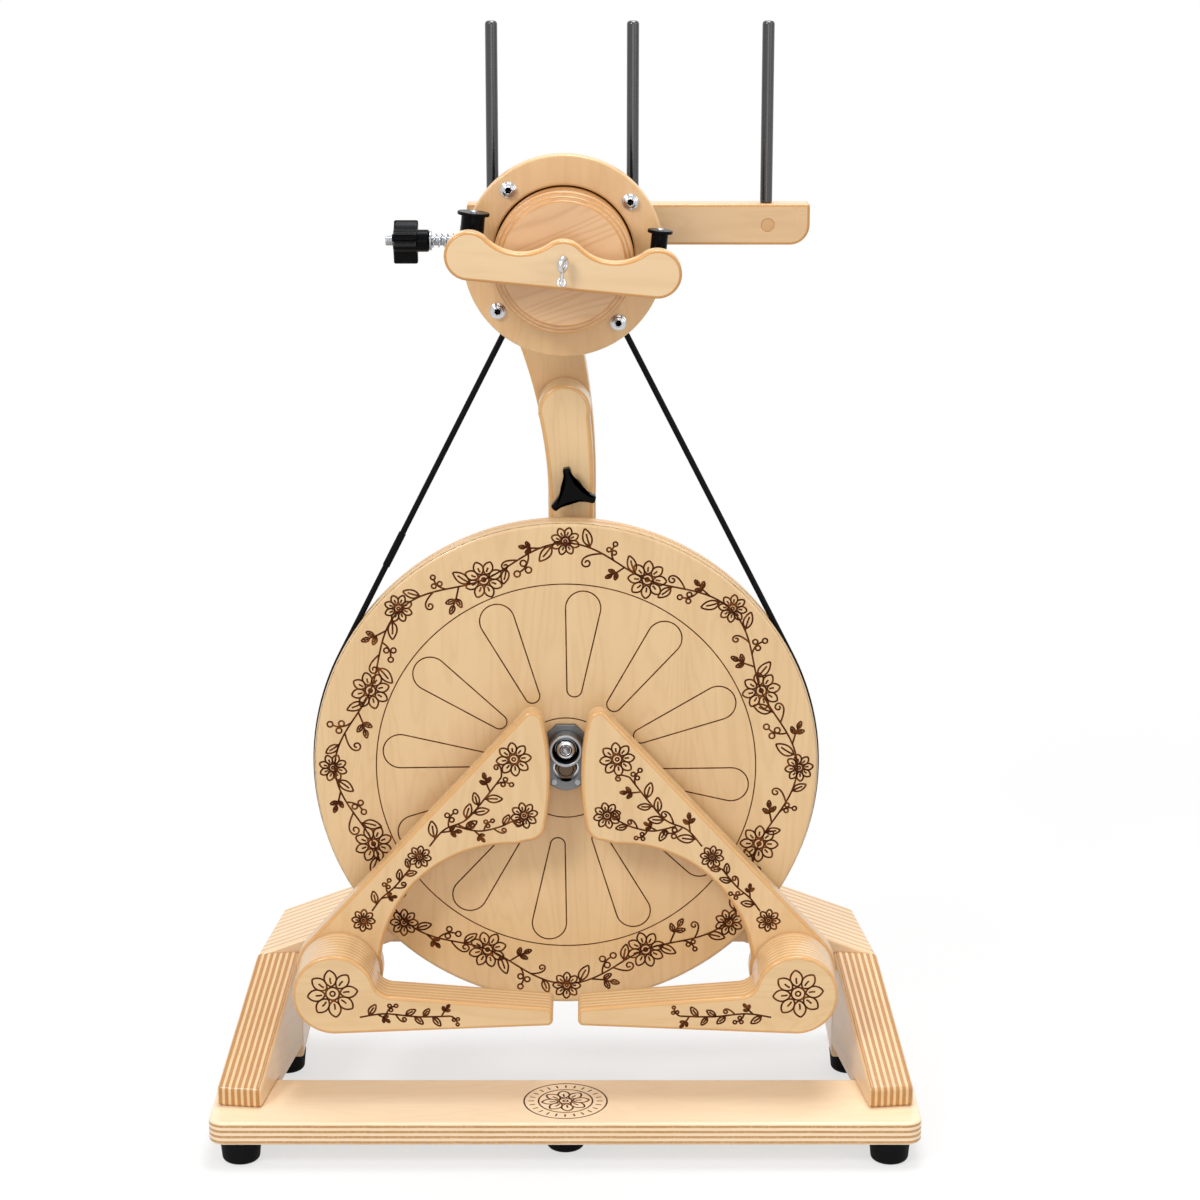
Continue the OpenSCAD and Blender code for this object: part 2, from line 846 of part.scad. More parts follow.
module axle_spacer() {
    gap_y = wheel_y + wheel_t - wheel_bearing_inset + seat_gap;
    color(steel)
        turned(0, gap_y, wheel_z)
            span([axle_r + seat_gap, 0], [axle_spacer_r, post_y - gap_y]);
}

module axle_nut() {
    color(steel)
        difference() {
            translate([0, wheel_y - axle_nut_t + wheel_bearing_inset - seat_gap, wheel_z])
                rotate([-90, 0, 0])
                    cylinder(r = axle_nut_r, h = axle_nut_t, $fn = 6);
            shaft(0, wheel_y - axle_nut_t - 1, wheel_z, axle_r + seat_gap, axle_nut_t + 3);
        }
}

module pivot_bushes() {
    bore = pivot_r + run_gap;
    color(bronze)
        for (side = [-1, 1]) {
            turned(side * pivot_x, bridge_y - bush_flange_t, pivot_z)
                union() {
                    span([bore, 0], [bush_flange_r, bush_flange_t]);
                    span([bore, 0], [bush_r, bush_flange_t + bush_len]);
                }
            turned(side * pivot_x, pivot_back_y - bush_len, pivot_z)
                span([bore, 0], [bush_r, bush_len]);
        }
}

module clamp_plate() {
    color(steel)
        difference() {
            slab(neck_y + neck_d + slide_gap, clamp_plate_t)
                translate([post_shift, stud_z])
                    square([clamp_plate_w, clamp_plate_h], center = true);
            shaft(post_shift, neck_y, stud_z, stud_r + run_gap, neck_d + 2 * clamp_plate_t);
        }
}

// The band lies in the wheel's groove and in the whorl's small groove
module drive_band() {
    color(black)
        translate([0, band_y, wheel_z])
            rotate([90, 0, 0])
                union() {
                    rotate([0, 0, 180 - band_lean])
                        rotate_extrude(angle = 180 + 2 * band_lean)
                            translate([band_wheel_r, 0])
                                circle(r = band_r);
                    translate([0, head_rise, 0])
                        rotate([0, 0, band_lean])
                            rotate_extrude(angle = 180 - 2 * band_lean)
                                translate([whorl_r, 0])
                                    circle(r = band_r);
                    rotate([0, 0, band_lean])
                        translate([band_wheel_r, -band_join, 0])
                            rotate([-90, 0, 0])
                                cylinder(r = band_r - tuck, h = band_run + 2 * band_join);
                    rotate([0, 0, 180 - band_lean])
                        translate([band_wheel_r, band_join, 0])
                            rotate([90, 0, 0])
                                cylinder(r = band_r - tuck, h = band_run + 2 * band_join);
                }
}

module neck() {
    bearing_back_y = neck_y + neck_d - bearing_t;
    color(maple)
        difference() {
            slab(neck_y, neck_d)
                difference() {
                    union() {
                        leaning_strip(neck_bottom_z, head_z - head_r / 2, 0);
                        translate([head_shift, head_z])
                            circle(r = head_r);
                    }
                    span(
                        [post_shift - slot_r, stud_z - slide_up],
                        [post_shift + slot_r, stud_z + slide_down]
                    );
                    for (z = [stud_z - slide_up, stud_z + slide_down])
                        translate([post_shift, z])
                            circle(r = slot_r);
                }
            shaft(0, neck_y - 1, axis_z, spindle_r + 1.5, neck_d + 2);
            shaft(0, neck_y - 1, axis_z, small_bearing_r, bearing_t + 1);
            shaft(0, bearing_back_y, axis_z, small_bearing_r, bearing_t + 1);
            for (x = bar_screw_x)
                shaft(x, neck_y - 1, bar_z + bar_screw_rise, bar_screw_r + seat_gap, neck_d + 2);
        }
}

module kate_bar() {
    color(maple)
        difference() {
            slab(bar_y, bar_t)
                difference() {
                    union() {
                        span([bar_left, bar_z], [bar_right - bar_corner_r, bar_z + bar_h]);
                        span([bar_left, bar_z + bar_corner_r], [bar_right, bar_z + bar_h]);
                        translate([bar_right - bar_corner_r, bar_z + bar_corner_r])
                            circle(r = bar_corner_r);
                    }
                    translate([0, axis_z])
                        circle(r = bar_notch_r);
                }
            for (x = kate_places)
                translate([x, kate_y, bar_z + bar_h - kate_depth])
                    cylinder(r = kate_tenon_r, h = kate_depth + 1);
            shaft(plug_x, bar_y - 1, bar_z + bar_h - plug_drop, plug_r, plug_t + 1);
            for (x = bar_screw_x)
                shaft(
                    x, neck_y - bar_screw_grip - 1, bar_z + bar_screw_rise,
                    bar_screw_r + seat_gap, bar_screw_grip + 2
                );
            shaft_x(
                bar_left - 1, kate_y, bracket_screw_z,
                bracket_screw_r + seat_gap, bracket_screw_grip + 2
            );
        }
}

// Rods with a thinner tenon in the bar and a bevelled tip
module kate_rods() {
    color(black)
        for (x = kate_places)
            translate([x, kate_y, bar_z + bar_h])
                union() {
                    translate([0, 0, -kate_depth])
                        cylinder(r = kate_tenon_r, h = kate_depth + 1);
                    cylinder(r = kate_r, h = kate_len - kate_tip);
                    translate([0, 0, kate_len - kate_tip])
                        cylinder(r1 = kate_r, r2 = kate_r - kate_tip, h = kate_tip);
                }
}

module bar_plug() {
    color(maple)
        shaft(plug_x, bar_y, bar_z + bar_h - plug_drop, plug_r, plug_t);
}

// Two screws through the neck into the bar, and one through the brake bracket
module head_screws() {
    color(steel) {
        for (x = bar_screw_x)
            screw_front(
                x, neck_y + neck_d, bar_z + bar_screw_rise,
                bar_screw_head_r, bar_screw_head_t, bar_screw_r, neck_d + bar_screw_grip
            );
        union() {
            shaft_x(
                bracket_x - bracket_screw_head_t, kate_y, bracket_screw_z,
                bracket_screw_head_r, bracket_screw_head_t
            );
            shaft_x(
                bracket_x - 1, kate_y, bracket_screw_z,
                bracket_screw_r, bracket_t + bracket_screw_grip
            );
        }
    }
}

module neck_bearings() {
    color(steel)
        for (y = [neck_y, neck_y + neck_d - bearing_t])
            bearing(0, y, axis_z, small_bearing_r, spindle_r + run_gap);
}

// A plate on the bar's left end that reaches forward to carry the brake bolt
module brake_bracket() {
    color(steel)
        difference() {
            union() {
                translate([bracket_x, brake_y, bracket_low_z])
                    cube([bracket_t, neck_y - brake_y, bracket_high_z - bracket_low_z]);
                shaft_x(bracket_x, brake_y, brake_z, bracket_end_r, bracket_t);
            }
            shaft_x(bracket_x - 1, brake_y, brake_z, brake_bolt_r + body_gap, bracket_t + 2);
            shaft_x(bracket_x - 1, kate_y, bracket_screw_z, bracket_screw_r + seat_gap, bracket_t + 2);
        }
}

// An eye bolt along X, with its ring lying flat so that the cord loops through it
module brake_bolt() {
    color(steel)
        union() {
            shaft_x(bolt_end_x, brake_y, brake_z, brake_bolt_r, eye_x - bolt_eye_r - bolt_end_x);
            translate([eye_x, brake_y, brake_z])
                rotate_extrude()
                    translate([bolt_eye_r, 0])
                        circle(r = bolt_eye_wire);
        }
}

// Middle line of the spring: a straight stub, the turns, and a straight stub
spring_stub = 2 * spring_wire_r;
function coil_point(i) =
    let (turn = 360 * i / spring_rings)
    [
        spring_x + spring_stub + (spring_len - 2 * spring_stub) * i / (spring_rings * spring_turns),
        spring_coil_r * cos(turn),
        spring_coil_r * sin(turn)
    ];
spring_line = concat(
    [[spring_x, spring_coil_r, 0]],
    [for (i = [0 : spring_rings * spring_turns]) coil_point(i)],
    [[spring_x + spring_len, spring_coil_r, 0]]
);
function unit(v) = v / norm(v);
function spring_course(i) =
    i == 0 || i == len(spring_line) - 1
    ? [1, 0, 0]
    : unit(unit(spring_line[i + 1] - spring_line[i]) + unit(spring_line[i] - spring_line[i - 1]));
function spring_ring(i) =
    let (
        course = spring_course(i),
        spoke = unit([0, spring_line[i][1], spring_line[i][2]]),
        side = unit(cross(course, spoke)),
        out = cross(side, course)
    )
    [
        for (k = [0 : spring_sides - 1])
            spring_line[i] + spring_wire_r
            * (out * cos(360 * k / spring_sides) + side * sin(360 * k / spring_sides))
    ];
spring_gap = min([
    for (i = [0 : len(spring_line) - 1], j = [i + spring_rings - 2 : len(spring_line) - 1])
        norm(spring_line[i] - spring_line[j])
]) - 2 * spring_wire_r;

module brake_spring() {
    rings = len(spring_line);
    points = [for (i = [0 : rings - 1], p = spring_ring(i)) p];
    walls = [
        for (i = [0 : rings - 2], k = [0 : spring_sides - 1])
            let (
                a = i * spring_sides + k,
                b = i * spring_sides + (k + 1) % spring_sides
            )
            each [[a, a + spring_sides, b], [b, a + spring_sides, b + spring_sides]]
    ];
    last = (rings - 1) * spring_sides;
    caps = [
        for (k = [1 : spring_sides - 2])
            each [[0, k, k + 1], [last, last + k + 1, last + k]]
    ];
    echo(least_gap_of_the_spring_to_itself = spring_gap);
    color(steel)
        translate([0, brake_y, brake_z])
            polyhedron(points = points, faces = concat(walls, caps));
}

// A loop from a knot in the bolt's ring round the brake drum
module brake_cord() {
    run = sqrt(pow(cord_reach, 2) - pow(cord_path_r, 2));
    color("ivory")
        translate([0, brake_y, axis_z])
            rotate([90, 0, 0])
                union() {
                    rotate([0, 0, cord_turn + cord_half])
                        rotate_extrude(angle = 360 - 2 * cord_half)
                            translate([cord_path_r, 0])
                                circle(r = cord_r);
                    rotate([0, 0, cord_turn + cord_half])
                        translate([cord_path_r, cord_join, 0])
                            rotate([90, 0, 0])
                                cylinder(r = cord_r - tuck, h = run + cord_join);
                    rotate([0, 0, cord_turn - cord_half])
                        translate([cord_path_r, -cord_join, 0])
                            rotate([-90, 0, 0])
                                cylinder(r = cord_r - tuck, h = run + cord_join);
                    translate([eye_x, brake_z - axis_z, 0])
                        sphere(r = cord_knot_r);
                }
}

module brake_washer() {
    color(steel)
        translate([washer_x, brake_y, brake_z])
            rotate([0, 90, 0])
                rotate_extrude()
                    span([brake_bolt_r + body_gap, 0], [washer_r, washer_t]);
}

module brake_knob() {
    color(black)
        difference() {
            translate([brake_knob_x, brake_y, brake_z])
                rotate([0, 90, 0])
                    union() {
                        linear_extrude(height = brake_knob_t)
                            rotate(15)
                                wings(brake_knob_r);
                        cylinder(r = brake_collar_r, h = brake_knob_t + brake_collar_t);
                    }
            shaft_x(
                brake_knob_x - 1, brake_y, brake_z,
                brake_bolt_r + run_gap, brake_knob_t + brake_collar_t + 2
            );
        }
}

module spindle() {
    back_y = bobbin_y + bobbin_len;
    color(steel)
        union() {
            shaft(0, spindle_y, axis_z, spindle_r, spindle_end_y - spindle_y);
            shaft(0, back_y, axis_z, shoulder_r, hub_y - body_gap - back_y);
        }
}

module spindle_collar() {
    color(steel)
        turned(0, neck_y + neck_d + body_gap, axis_z)
            span([spindle_r, 0], [collar_r, collar_t]);
}

// A drum with a round-bottomed groove for the cord, and a hub that fills the spindle on both sides
module brake_drum() {
    front = whorl_y + whorl_front + whorl_back + body_gap;
    groove = cord_r + body_gap;
    color(maple)
        union() {
            turned(0, drum_y, axis_z)
                difference() {
                    span([spindle_r, 0], [drum_r + drum_rim, drum_t]);
                    translate([cord_path_r, drum_t / 2])
                        circle(r = groove);
                    span([cord_path_r, drum_t / 2 - groove], [drum_r + 2 * drum_rim, drum_t / 2 + groove]);
                }
            turned(0, front, axis_z)
                span([spindle_r, 0], [drum_hub_r, neck_y - body_gap - front]);
        }
}

// The front flange steps back from its face in two small mouldings
module bobbin_front() {
    color(maple)
        turned(0, bobbin_y, axis_z)
            difference() {
                union() {
                    span([0, 0], [bobbin_r - 2 * moulding_in, flange_t]);
                    span([0, moulding_deep], [bobbin_r - moulding_in, flange_t]);
                    span([0, 2 * moulding_deep], [bobbin_r, flange_t]);
                }
                span([-1, 2 * moulding_deep], [spindle_r, flange_t + 1]);
            }
}

module bobbin_core() {
    color(maple)
        turned(0, bobbin_y + flange_t, axis_z)
            span([spindle_r, 0], [core_r, bobbin_len - flange_t - back_flange_t]);
}

module bobbin_back() {
    color(maple)
        turned(0, bobbin_y + bobbin_len - back_flange_t, axis_z)
            span([spindle_r, 0], [bobbin_back_r, back_flange_t]);
}

// Places of the flyer ring's screws
module at_ring_screws() {
    for (turn = [45 : 90 : 315])
        rotate([0, turn, 0])
            translate([ring_screw_pitch_r, 0, 0])
                children();
}

module flyer_ring() {
    color(birch)
        on_flyer()
            difference() {
                turned(0, ring_y, 0)
                    span([ring_hole_r, 0], [ring_r, ring_t]);
                at_ring_screws()
                    shaft(0, ring_y - 1, 0, ring_screw_r + seat_gap, ring_t + 2);
                for (side = [-1, 1])
                    shaft(side * rod_x, ring_y - 1, rod_z, flyer_rod_r, rod_seat + 1);
            }
}

module ring_screws() {
    washer_y = ring_y - ring_washer_t;
    color(steel)
        on_flyer()
            at_ring_screws()
                union() {
                    shaft(0, washer_y - ring_screw_head_t, 0, ring_screw_head_r, ring_screw_head_t);
                    shaft(0, washer_y, 0, ring_washer_r, ring_washer_t);
                    shaft(0, washer_y, 0, ring_screw_r, ring_washer_t + ring_t + hub_flange_t - 1);
                }
}

module flyer_hub() {
    len = hub_flange_t + hub_sleeve;
    color(black)
        on_flyer()
            difference() {
                turned(0, hub_y, 0)
                    difference() {
                        union() {
                            span([0, 0], [hub_flange_r, hub_flange_t]);
                            span([0, 0], [hub_sleeve_r, len]);
                        }
                        span([-1, -1], [spindle_r + 1.5, len + 1]);
                        span([-1, -1], [small_bearing_r, bearing_t]);
                        span([-1, len - bearing_t], [small_bearing_r, len + 1]);
                    }
                at_ring_screws()
                    shaft(0, hub_y - 1, 0, ring_screw_r + seat_gap, hub_flange_t + 2);
            }
}

module hub_bearings() {
    color(steel)
        on_flyer()
            for (y = [hub_y, hub_y + hub_flange_t + hub_sleeve - bearing_t])
                bearing(0, y, 0, small_bearing_r, spindle_r + run_gap);
}

// Two grooves: the small one lies in the plane of the drive wheel's groove
module whorl() {
    len = whorl_front + whorl_back;
    color(black)
        on_flyer()
            turned(0, whorl_y, 0)
                difference() {
                    union() {
                        span([spindle_r + 1, 0], [whorl_large_r + whorl_lip, whorl_front - groove_r - 1]);
                        span([spindle_r + 1, 0], [whorl_r + whorl_lip, len]);
                    }
                    translate([whorl_large_r, whorl_front - whorl_step])
                        circle(r = groove_r);
                    span(
                        [whorl_large_r, whorl_front - whorl_step - groove_r],
                        [whorl_large_r + 2 * whorl_lip, whorl_front - whorl_step + groove_r]
                    );
                    translate([whorl_r, whorl_front])
                        circle(r = groove_r);
                    span(
                        [whorl_r, whorl_front - groove_r],
                        [whorl_r + 2 * whorl_lip, whorl_front + groove_r]
                    );
                }
}

module flyer_rods() {
    back = ring_y + rod_seat;
    front = flyer_bar_y + flyer_bar_t - rod_sink;
    color(steel)
        on_flyer()
            for (side = [-1, 1])
                shaft(side * rod_x, front, rod_z, flyer_rod_r, back - front);
}

// Three round lobes joined by two hollows above a straight lower edge
module flyer_bar() {
    color(maple)
        on_flyer()
            difference() {
                slab(flyer_bar_y, flyer_bar_t)
                    difference() {
                        union() {
                            span([-rod_x, rod_z - lobe_r], [rod_x, fill_z]);
                            for (x = [-rod_x, 0, rod_x])
                                translate([x, rod_z])
                                    circle(r = lobe_r);
                        }
                        for (side = [-1, 1])
                            translate([side * rod_x / 2, dip_z])
                                circle(r = dip_r + tuck);
                    }
                for (side = [-1, 1])
                    shaft(
                        side * rod_x, flyer_bar_y + flyer_bar_t - rod_sink, rod_z,
                        flyer_rod_r, rod_sink + 1
                    );
                shaft(0, flyer_bar_y - 1, eye_shank_z, eye_stem_r + seat_gap, eye_sink + 1);
                shaft(0, flyer_bar_y - 1, eye_shank_z, eye_ferrule_r + seat_gap, 2);
            }
}

// A wire ring in front of the bar, whose stem bends back into the bar
module orifice_eye() {
    stem_z = eye_z - eye_ring_r;
    color(steel)
        on_flyer()
            union() {
                translate([0, flyer_bar_y - eye_out, eye_z])
                    rotate([0, 90, -eye_turn])
                        rotate_extrude()
                            translate([eye_ring_r, 0])
                                circle(r = eye_wire_r);
                translate([0, flyer_bar_y - eye_out, eye_shank_z])
                    cylinder(r = eye_stem_r, h = stem_z - eye_shank_z);
                translate([0, flyer_bar_y - eye_out, eye_shank_z])
                    sphere(r = eye_wire_r);
                shaft(0, flyer_bar_y - eye_out, eye_shank_z, eye_stem_r, eye_out + eye_sink - 1);
                shaft(0, flyer_bar_y - 1, eye_shank_z, eye_ferrule_r, 2);
            }
}

// A sleeve on a flyer rod with a flanged spool standing on it
module yarn_guide(side, body_r) {
    top = guide_top_z - rod_z;
    on_flyer()
        translate([side * rod_x, guide_y, rod_z])
            difference() {
                union() {
                    shaft(0, 0, 0, guide_tube_r, guide_len);
                    translate([0, guide_len / 2, 0])
                        cylinder(r = body_r, h = top);
                    translate([0, guide_len / 2, top - guide_flange_t])
                        cylinder(r = body_r + guide_flange_out, h = guide_flange_t);
                }
                shaft(0, -body_r, 0, flyer_rod_r + run_gap, guide_len + 2 * body_r);
            }
}

module left_guide() {
    color(black)
        yarn_guide(-1, left_guide_r);
}

module right_guide() {
    color(black)
        yarn_guide(1, right_guide_r);
}

module drive_wheel() {
    bore = axle_r + 2;
    color(birch)
        difference() {
            turned(0, wheel_y, wheel_z)
                difference() {
                    polygon([
                        [bore, 0],
                        [wheel_r - wheel_chamfer, 0],
                        [wheel_r, wheel_chamfer],
                        [wheel_r, wheel_t - wheel_chamfer],
                        [wheel_r - wheel_chamfer, wheel_t],
                        [bore, wheel_t]
                    ]);
                    translate([band_wheel_r, wheel_t / 2])
                        circle(r = groove_r);
                    span([band_wheel_r, wheel_t / 2 - groove_r], [wheel_r + 1, wheel_t / 2 + groove_r]);
                    span([0, -1], [wheel_bearing_r, wheel_bearing_inset + bearing_t]);
                    span([0, wheel_t - wheel_bearing_inset - bearing_t], [wheel_bearing_r, wheel_t + 1]);
                }
            shaft(0, wheel_y - 1, crank_z, crank_bolt_r, crank_bolt_grip + 1);
            at_plate_screws()
                shaft(0, wheel_y - 1, 0, plate_screw_r, plate_screw_grip + 1);
        }
}

// Places of the crank plate's screws, below the axle
module at_plate_screws() {
    for (side = [-1, 1])
        translate([
            side * plate_screw_pitch_r * sin(plate_screw_turn),
            0,
            wheel_z - plate_screw_pitch_r * cos(plate_screw_turn)
        ])
            children();
}

module wheel_bearings() {
    color(steel)
        for (y = [wheel_bearing_inset, wheel_t - wheel_bearing_inset - bearing_t])
            bearing(0, wheel_y + y, wheel_z, wheel_bearing_r, axle_r + run_gap);
}

module crank_plate() {
    color(steel)
        difference() {
            slab(plate_y, plate_t)
                union() {
                    translate([0, wheel_z])
                        circle(r = plate_r);
                    polygon([
                        [-plate_r + tuck, wheel_z],
                        [plate_r - tuck, wheel_z],
                        [plate_r, crank_z + plate_flat],
                        [plate_flat, crank_z + plate_r],
                        [-plate_flat, crank_z + plate_r],
                        [-plate_r, crank_z + plate_flat]
                    ]);
                }
            shaft(0, plate_y - 1, wheel_z, plate_hole_r, plate_t + 2);
            shaft(0, plate_y - 1, crank_z, crank_bolt_r, plate_t + 2);
            at_plate_screws() {
                shaft(0, plate_y - 1, 0, plate_screw_r, plate_t + 2);
                shaft(0, plate_y - 1, 0, plate_screw_head_r, plate_screw_head_t + 1);
            }
        }
}

module plate_screws() {
    color(steel)
        at_plate_screws()
            screw_back(
                0, plate_y, 0,
                plate_screw_head_r, plate_screw_head_t,
                plate_screw_r, plate_t - plate_screw_head_t + plate_screw_grip
            );
}

// A shoulder bolt whose head is sunk in the roller's cup
module crank_bolt() {
    head_y = roller_back_y - roller_web - body_gap - crank_head_t;
    color(steel)
        union() {
            shaft(0, head_y, crank_z, crank_head_r, crank_head_t);
            shaft(0, head_y, crank_z, crank_bolt_r, wheel_y + crank_bolt_grip - head_y);
            shaft(0, roller_back_y + body_gap, crank_z, crank_bolt_r + 2, plane_gap - body_gap);
        }
}

// A cup that rolls on the crank bolt
module crank_roller() {
    color(steel)
        turned(0, roller_y, crank_z)
            difference() {
                span([crank_bolt_r + run_gap, 0], [roller_r, roller_t]);
                span([0, -1], [roller_cup_r, roller_t - roller_web]);
            }
}

// Outline of the left pedal: a round hub, a hollow above, and a tapering foot plate
module pedal_outline() {
    difference() {
        union() {
            translate([-pivot_x, pivot_z])
                circle(r = pedal_hub_r);
            polygon([
                [pedal_tip_x - pedal_corner_r, pedal_low_z],
                [pedal_tip_x - pedal_corner_r, pedal_high_z],
                [pedal_fillet_x, pedal_root_z],
                [pedal_fillet_x, pedal_fillet_z],
                pedal_touch,
                [-pivot_x, pivot_z],
                [-pivot_x, pivot_z - pedal_hub_r]
            ]);
            span(
                [pedal_tip_x - 2 * pedal_corner_r, pedal_low_z + pedal_corner_r],
                [pedal_tip_x, pedal_high_z - pedal_corner_r]
            );
            for (z = [pedal_low_z + pedal_corner_r, pedal_high_z - pedal_corner_r])
                translate([pedal_tip_x - pedal_corner_r, z])
                    circle(r = pedal_corner_r);
        }
        translate([pedal_fillet_x, pedal_fillet_z])
            circle(r = pedal_fillet_r);
    }
}

// The pedal with the round spacer that stands between its hub and the treadle arm
module left_pedal() {
    color(birch)
        difference() {
            union() {
                slab(pedal_y, pedal_t)
                    pedal_outline();
                shaft(-pivot_x, spacer_y, pivot_z, pedal_hub_r, thin_ply);
            }
            shaft(-pivot_x, pedal_y + thin_ply, pivot_z, pivot_r, 2 * thin_ply + 1);
        }
}

module right_pedal() {
    mirror([1, 0, 0])
        left_pedal();
}

// Outline of the left treadle arm: a round foot, a long outer edge and a blade beside the roller
module treadle_arm_outline() {
    hub = [-pivot_x, pivot_z];
    union() {
        difference() {
            intersection() {
                polygon([
                    [arm_hollow_x, pivot_z],
                    [arm_hollow_x, pivot_z + arm_hollow_r - 1],
                    arm_heel - [0, arm_heel_r - tuck],
                    arm_heel + [arm_heel_r / 2, 0],
                    [arm_tip[0] + 2 * arm_tip_r, arm_heel[1]],
                    arm_tip + [2 * arm_tip_r, 0],
                    arm_tip + [0, arm_tip_r / 2],
                    arm_tip + (arm_tip_r - tuck) * arm_out,
                    hub + (arm_hub_r - tuck) * arm_out,
                    hub
                ]);
                translate([-arm_gap - arm_bulge_r, arm_bulge_z])
                    circle(r = arm_bulge_r, $fn = 180);
            }
            translate([arm_hollow_x, pivot_z])
                circle(r = arm_hollow_r);
        }
        translate(hub)
            circle(r = arm_hub_r);
        translate(arm_tip)
            circle(r = arm_tip_r);
        translate(arm_heel)
            circle(r = arm_heel_r);
    }
}

module left_treadle_arm() {
    color(birch)
        difference() {
            slab(arm_y, thin_ply)
                treadle_arm_outline();
            shaft(-pivot_x, arm_y - 1, pivot_z, pivot_r, thin_ply + 2);
        }
}

module right_treadle_arm() {
    mirror([1, 0, 0])
        left_treadle_arm();
}

module pivot_rod(side) {
    color(steel)
        shaft(side * pivot_x, pedal_y + thin_ply, pivot_z, pivot_r, pivot_end_y - pedal_y - thin_ply);
}

// A tube on the rod between the treadle arm and the bridge's bush
module pivot_spacer(side) {
    from_y = arm_y + thin_ply;
    color(steel)
        turned(side * pivot_x, from_y, pivot_z)
            span([pivot_r, 0], [bush_flange_r, bridge_y - bush_flange_t - body_gap - from_y]);
}

module pivot_collar(side) {
    color(steel)
        turned(side * pivot_x, pivot_back_y + body_gap, pivot_z)
            span([pivot_r, 0], [pivot_collar_r, pivot_collar_t]);
}

module left_pivot_rod() {
    pivot_rod(-1);
}

module right_pivot_rod() {
    pivot_rod(1);
}

module left_pivot_spacer() {
    pivot_spacer(-1);
}

module right_pivot_spacer() {
    pivot_spacer(1);
}

module left_pivot_collar() {
    pivot_collar(-1);
}

module right_pivot_collar() {
    pivot_collar(1);
}

// A winged knob moulded on the stud that clamps the neck to the post
module post_knob() {
    back = post_y - body_gap;
    color(black)
        union() {
            slab(back - knob_stem - knob_t, knob_t)
                translate([post_shift, stud_z])
                    rotate(102)
                        wings(knob_r);
            shaft(post_shift, back - knob_stem - knob_t, stud_z, knob_hub_r, knob_stem + knob_t);
            shaft(
                post_shift, back - knob_stem, stud_z,
                stud_r, knob_stem + body_gap + post_d + slide_gap * 2 + neck_d + clamp_plate_t + 3
            );
        }
}

front_board();
left_side_arm();
right_side_arm();
rear_bridge();
post();
rubber_feet();
foot_screws();
base_bolts();
post_bolts();
wheel_axle();
axle_spacer();
axle_nut();
pivot_bushes();
clamp_plate();
drive_band();
neck();
kate_bar();
kate_rods();
bar_plug();
head_screws();
neck_bearings();
brake_bracket();
brake_bolt();
brake_spring();
brake_cord();
brake_washer();
brake_knob();
spindle();
spindle_collar();
brake_drum();
bobbin_front();
bobbin_core();
bobbin_back();
flyer_ring();
ring_screws();
flyer_hub();
hub_bearings();
whorl();
flyer_rods();
flyer_bar();
orifice_eye();
left_guide();
right_guide();
drive_wheel();
wheel_bearings();
crank_plate();
plate_screws();
crank_bolt();
crank_roller();
left_pedal();
left_treadle_arm();
left_pivot_rod();
left_pivot_spacer();
left_pivot_collar();
right_pedal();
right_treadle_arm();
right_pivot_rod();
right_pivot_spacer();
right_pivot_collar();
post_knob();
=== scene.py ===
"""Looks of a double treadle spinning wheel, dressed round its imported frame.

Every wooden piece is a softened copy of the frame's own solid with plywood or maple
grained right through it. Cords, coils, screws and the burnt ornament are grown by
geometry trees. Lengths are metres; X runs across, Y to the back and Z up.
"""

import json
import logging
import math
from collections.abc import Iterable, Sequence
from dataclasses import dataclass, replace
from enum import Enum
from typing import ClassVar

import bmesh
import bpy
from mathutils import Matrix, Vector
from mathutils.bvhtree import BVHTree
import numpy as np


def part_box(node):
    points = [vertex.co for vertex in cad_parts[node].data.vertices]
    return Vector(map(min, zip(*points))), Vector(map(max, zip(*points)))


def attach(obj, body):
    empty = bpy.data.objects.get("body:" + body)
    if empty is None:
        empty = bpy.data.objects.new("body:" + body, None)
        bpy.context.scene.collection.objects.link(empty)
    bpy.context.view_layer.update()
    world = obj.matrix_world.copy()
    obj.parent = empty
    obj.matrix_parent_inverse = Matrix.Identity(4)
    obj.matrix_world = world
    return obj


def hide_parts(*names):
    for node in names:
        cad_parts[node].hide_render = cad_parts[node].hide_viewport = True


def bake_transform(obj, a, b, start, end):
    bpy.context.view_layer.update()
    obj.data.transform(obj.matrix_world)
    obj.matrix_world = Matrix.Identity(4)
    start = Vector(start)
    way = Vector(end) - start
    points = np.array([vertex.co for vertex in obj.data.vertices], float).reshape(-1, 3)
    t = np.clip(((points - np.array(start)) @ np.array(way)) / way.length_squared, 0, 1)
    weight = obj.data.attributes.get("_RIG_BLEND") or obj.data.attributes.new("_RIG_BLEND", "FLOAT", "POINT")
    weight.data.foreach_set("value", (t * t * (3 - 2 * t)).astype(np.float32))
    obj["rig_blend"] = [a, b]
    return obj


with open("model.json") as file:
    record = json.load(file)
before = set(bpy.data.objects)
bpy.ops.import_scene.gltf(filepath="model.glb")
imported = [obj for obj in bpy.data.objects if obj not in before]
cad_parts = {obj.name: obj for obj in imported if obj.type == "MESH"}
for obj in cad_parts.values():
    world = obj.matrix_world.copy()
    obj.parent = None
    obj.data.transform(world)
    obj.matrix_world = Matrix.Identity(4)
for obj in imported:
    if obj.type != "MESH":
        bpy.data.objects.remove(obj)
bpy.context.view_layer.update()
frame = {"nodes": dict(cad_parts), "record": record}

log = logging.getLogger("spinning_wheel")

Point2 = tuple[float, float]
Point3 = tuple[float, float, float]
Colour = tuple[float, float, float, float]
Settings = dict[str, object]
Sockets = dict[str | int, object]

MM = 0.001
RECORD = frame["record"]
BODY_OF = {n: b for b, nodes in RECORD["behaviour"]["bodies"].items() for n in nodes}
SLOT_OF = {part["node"]: part["material_slot"] for part in RECORD["subparts"]}

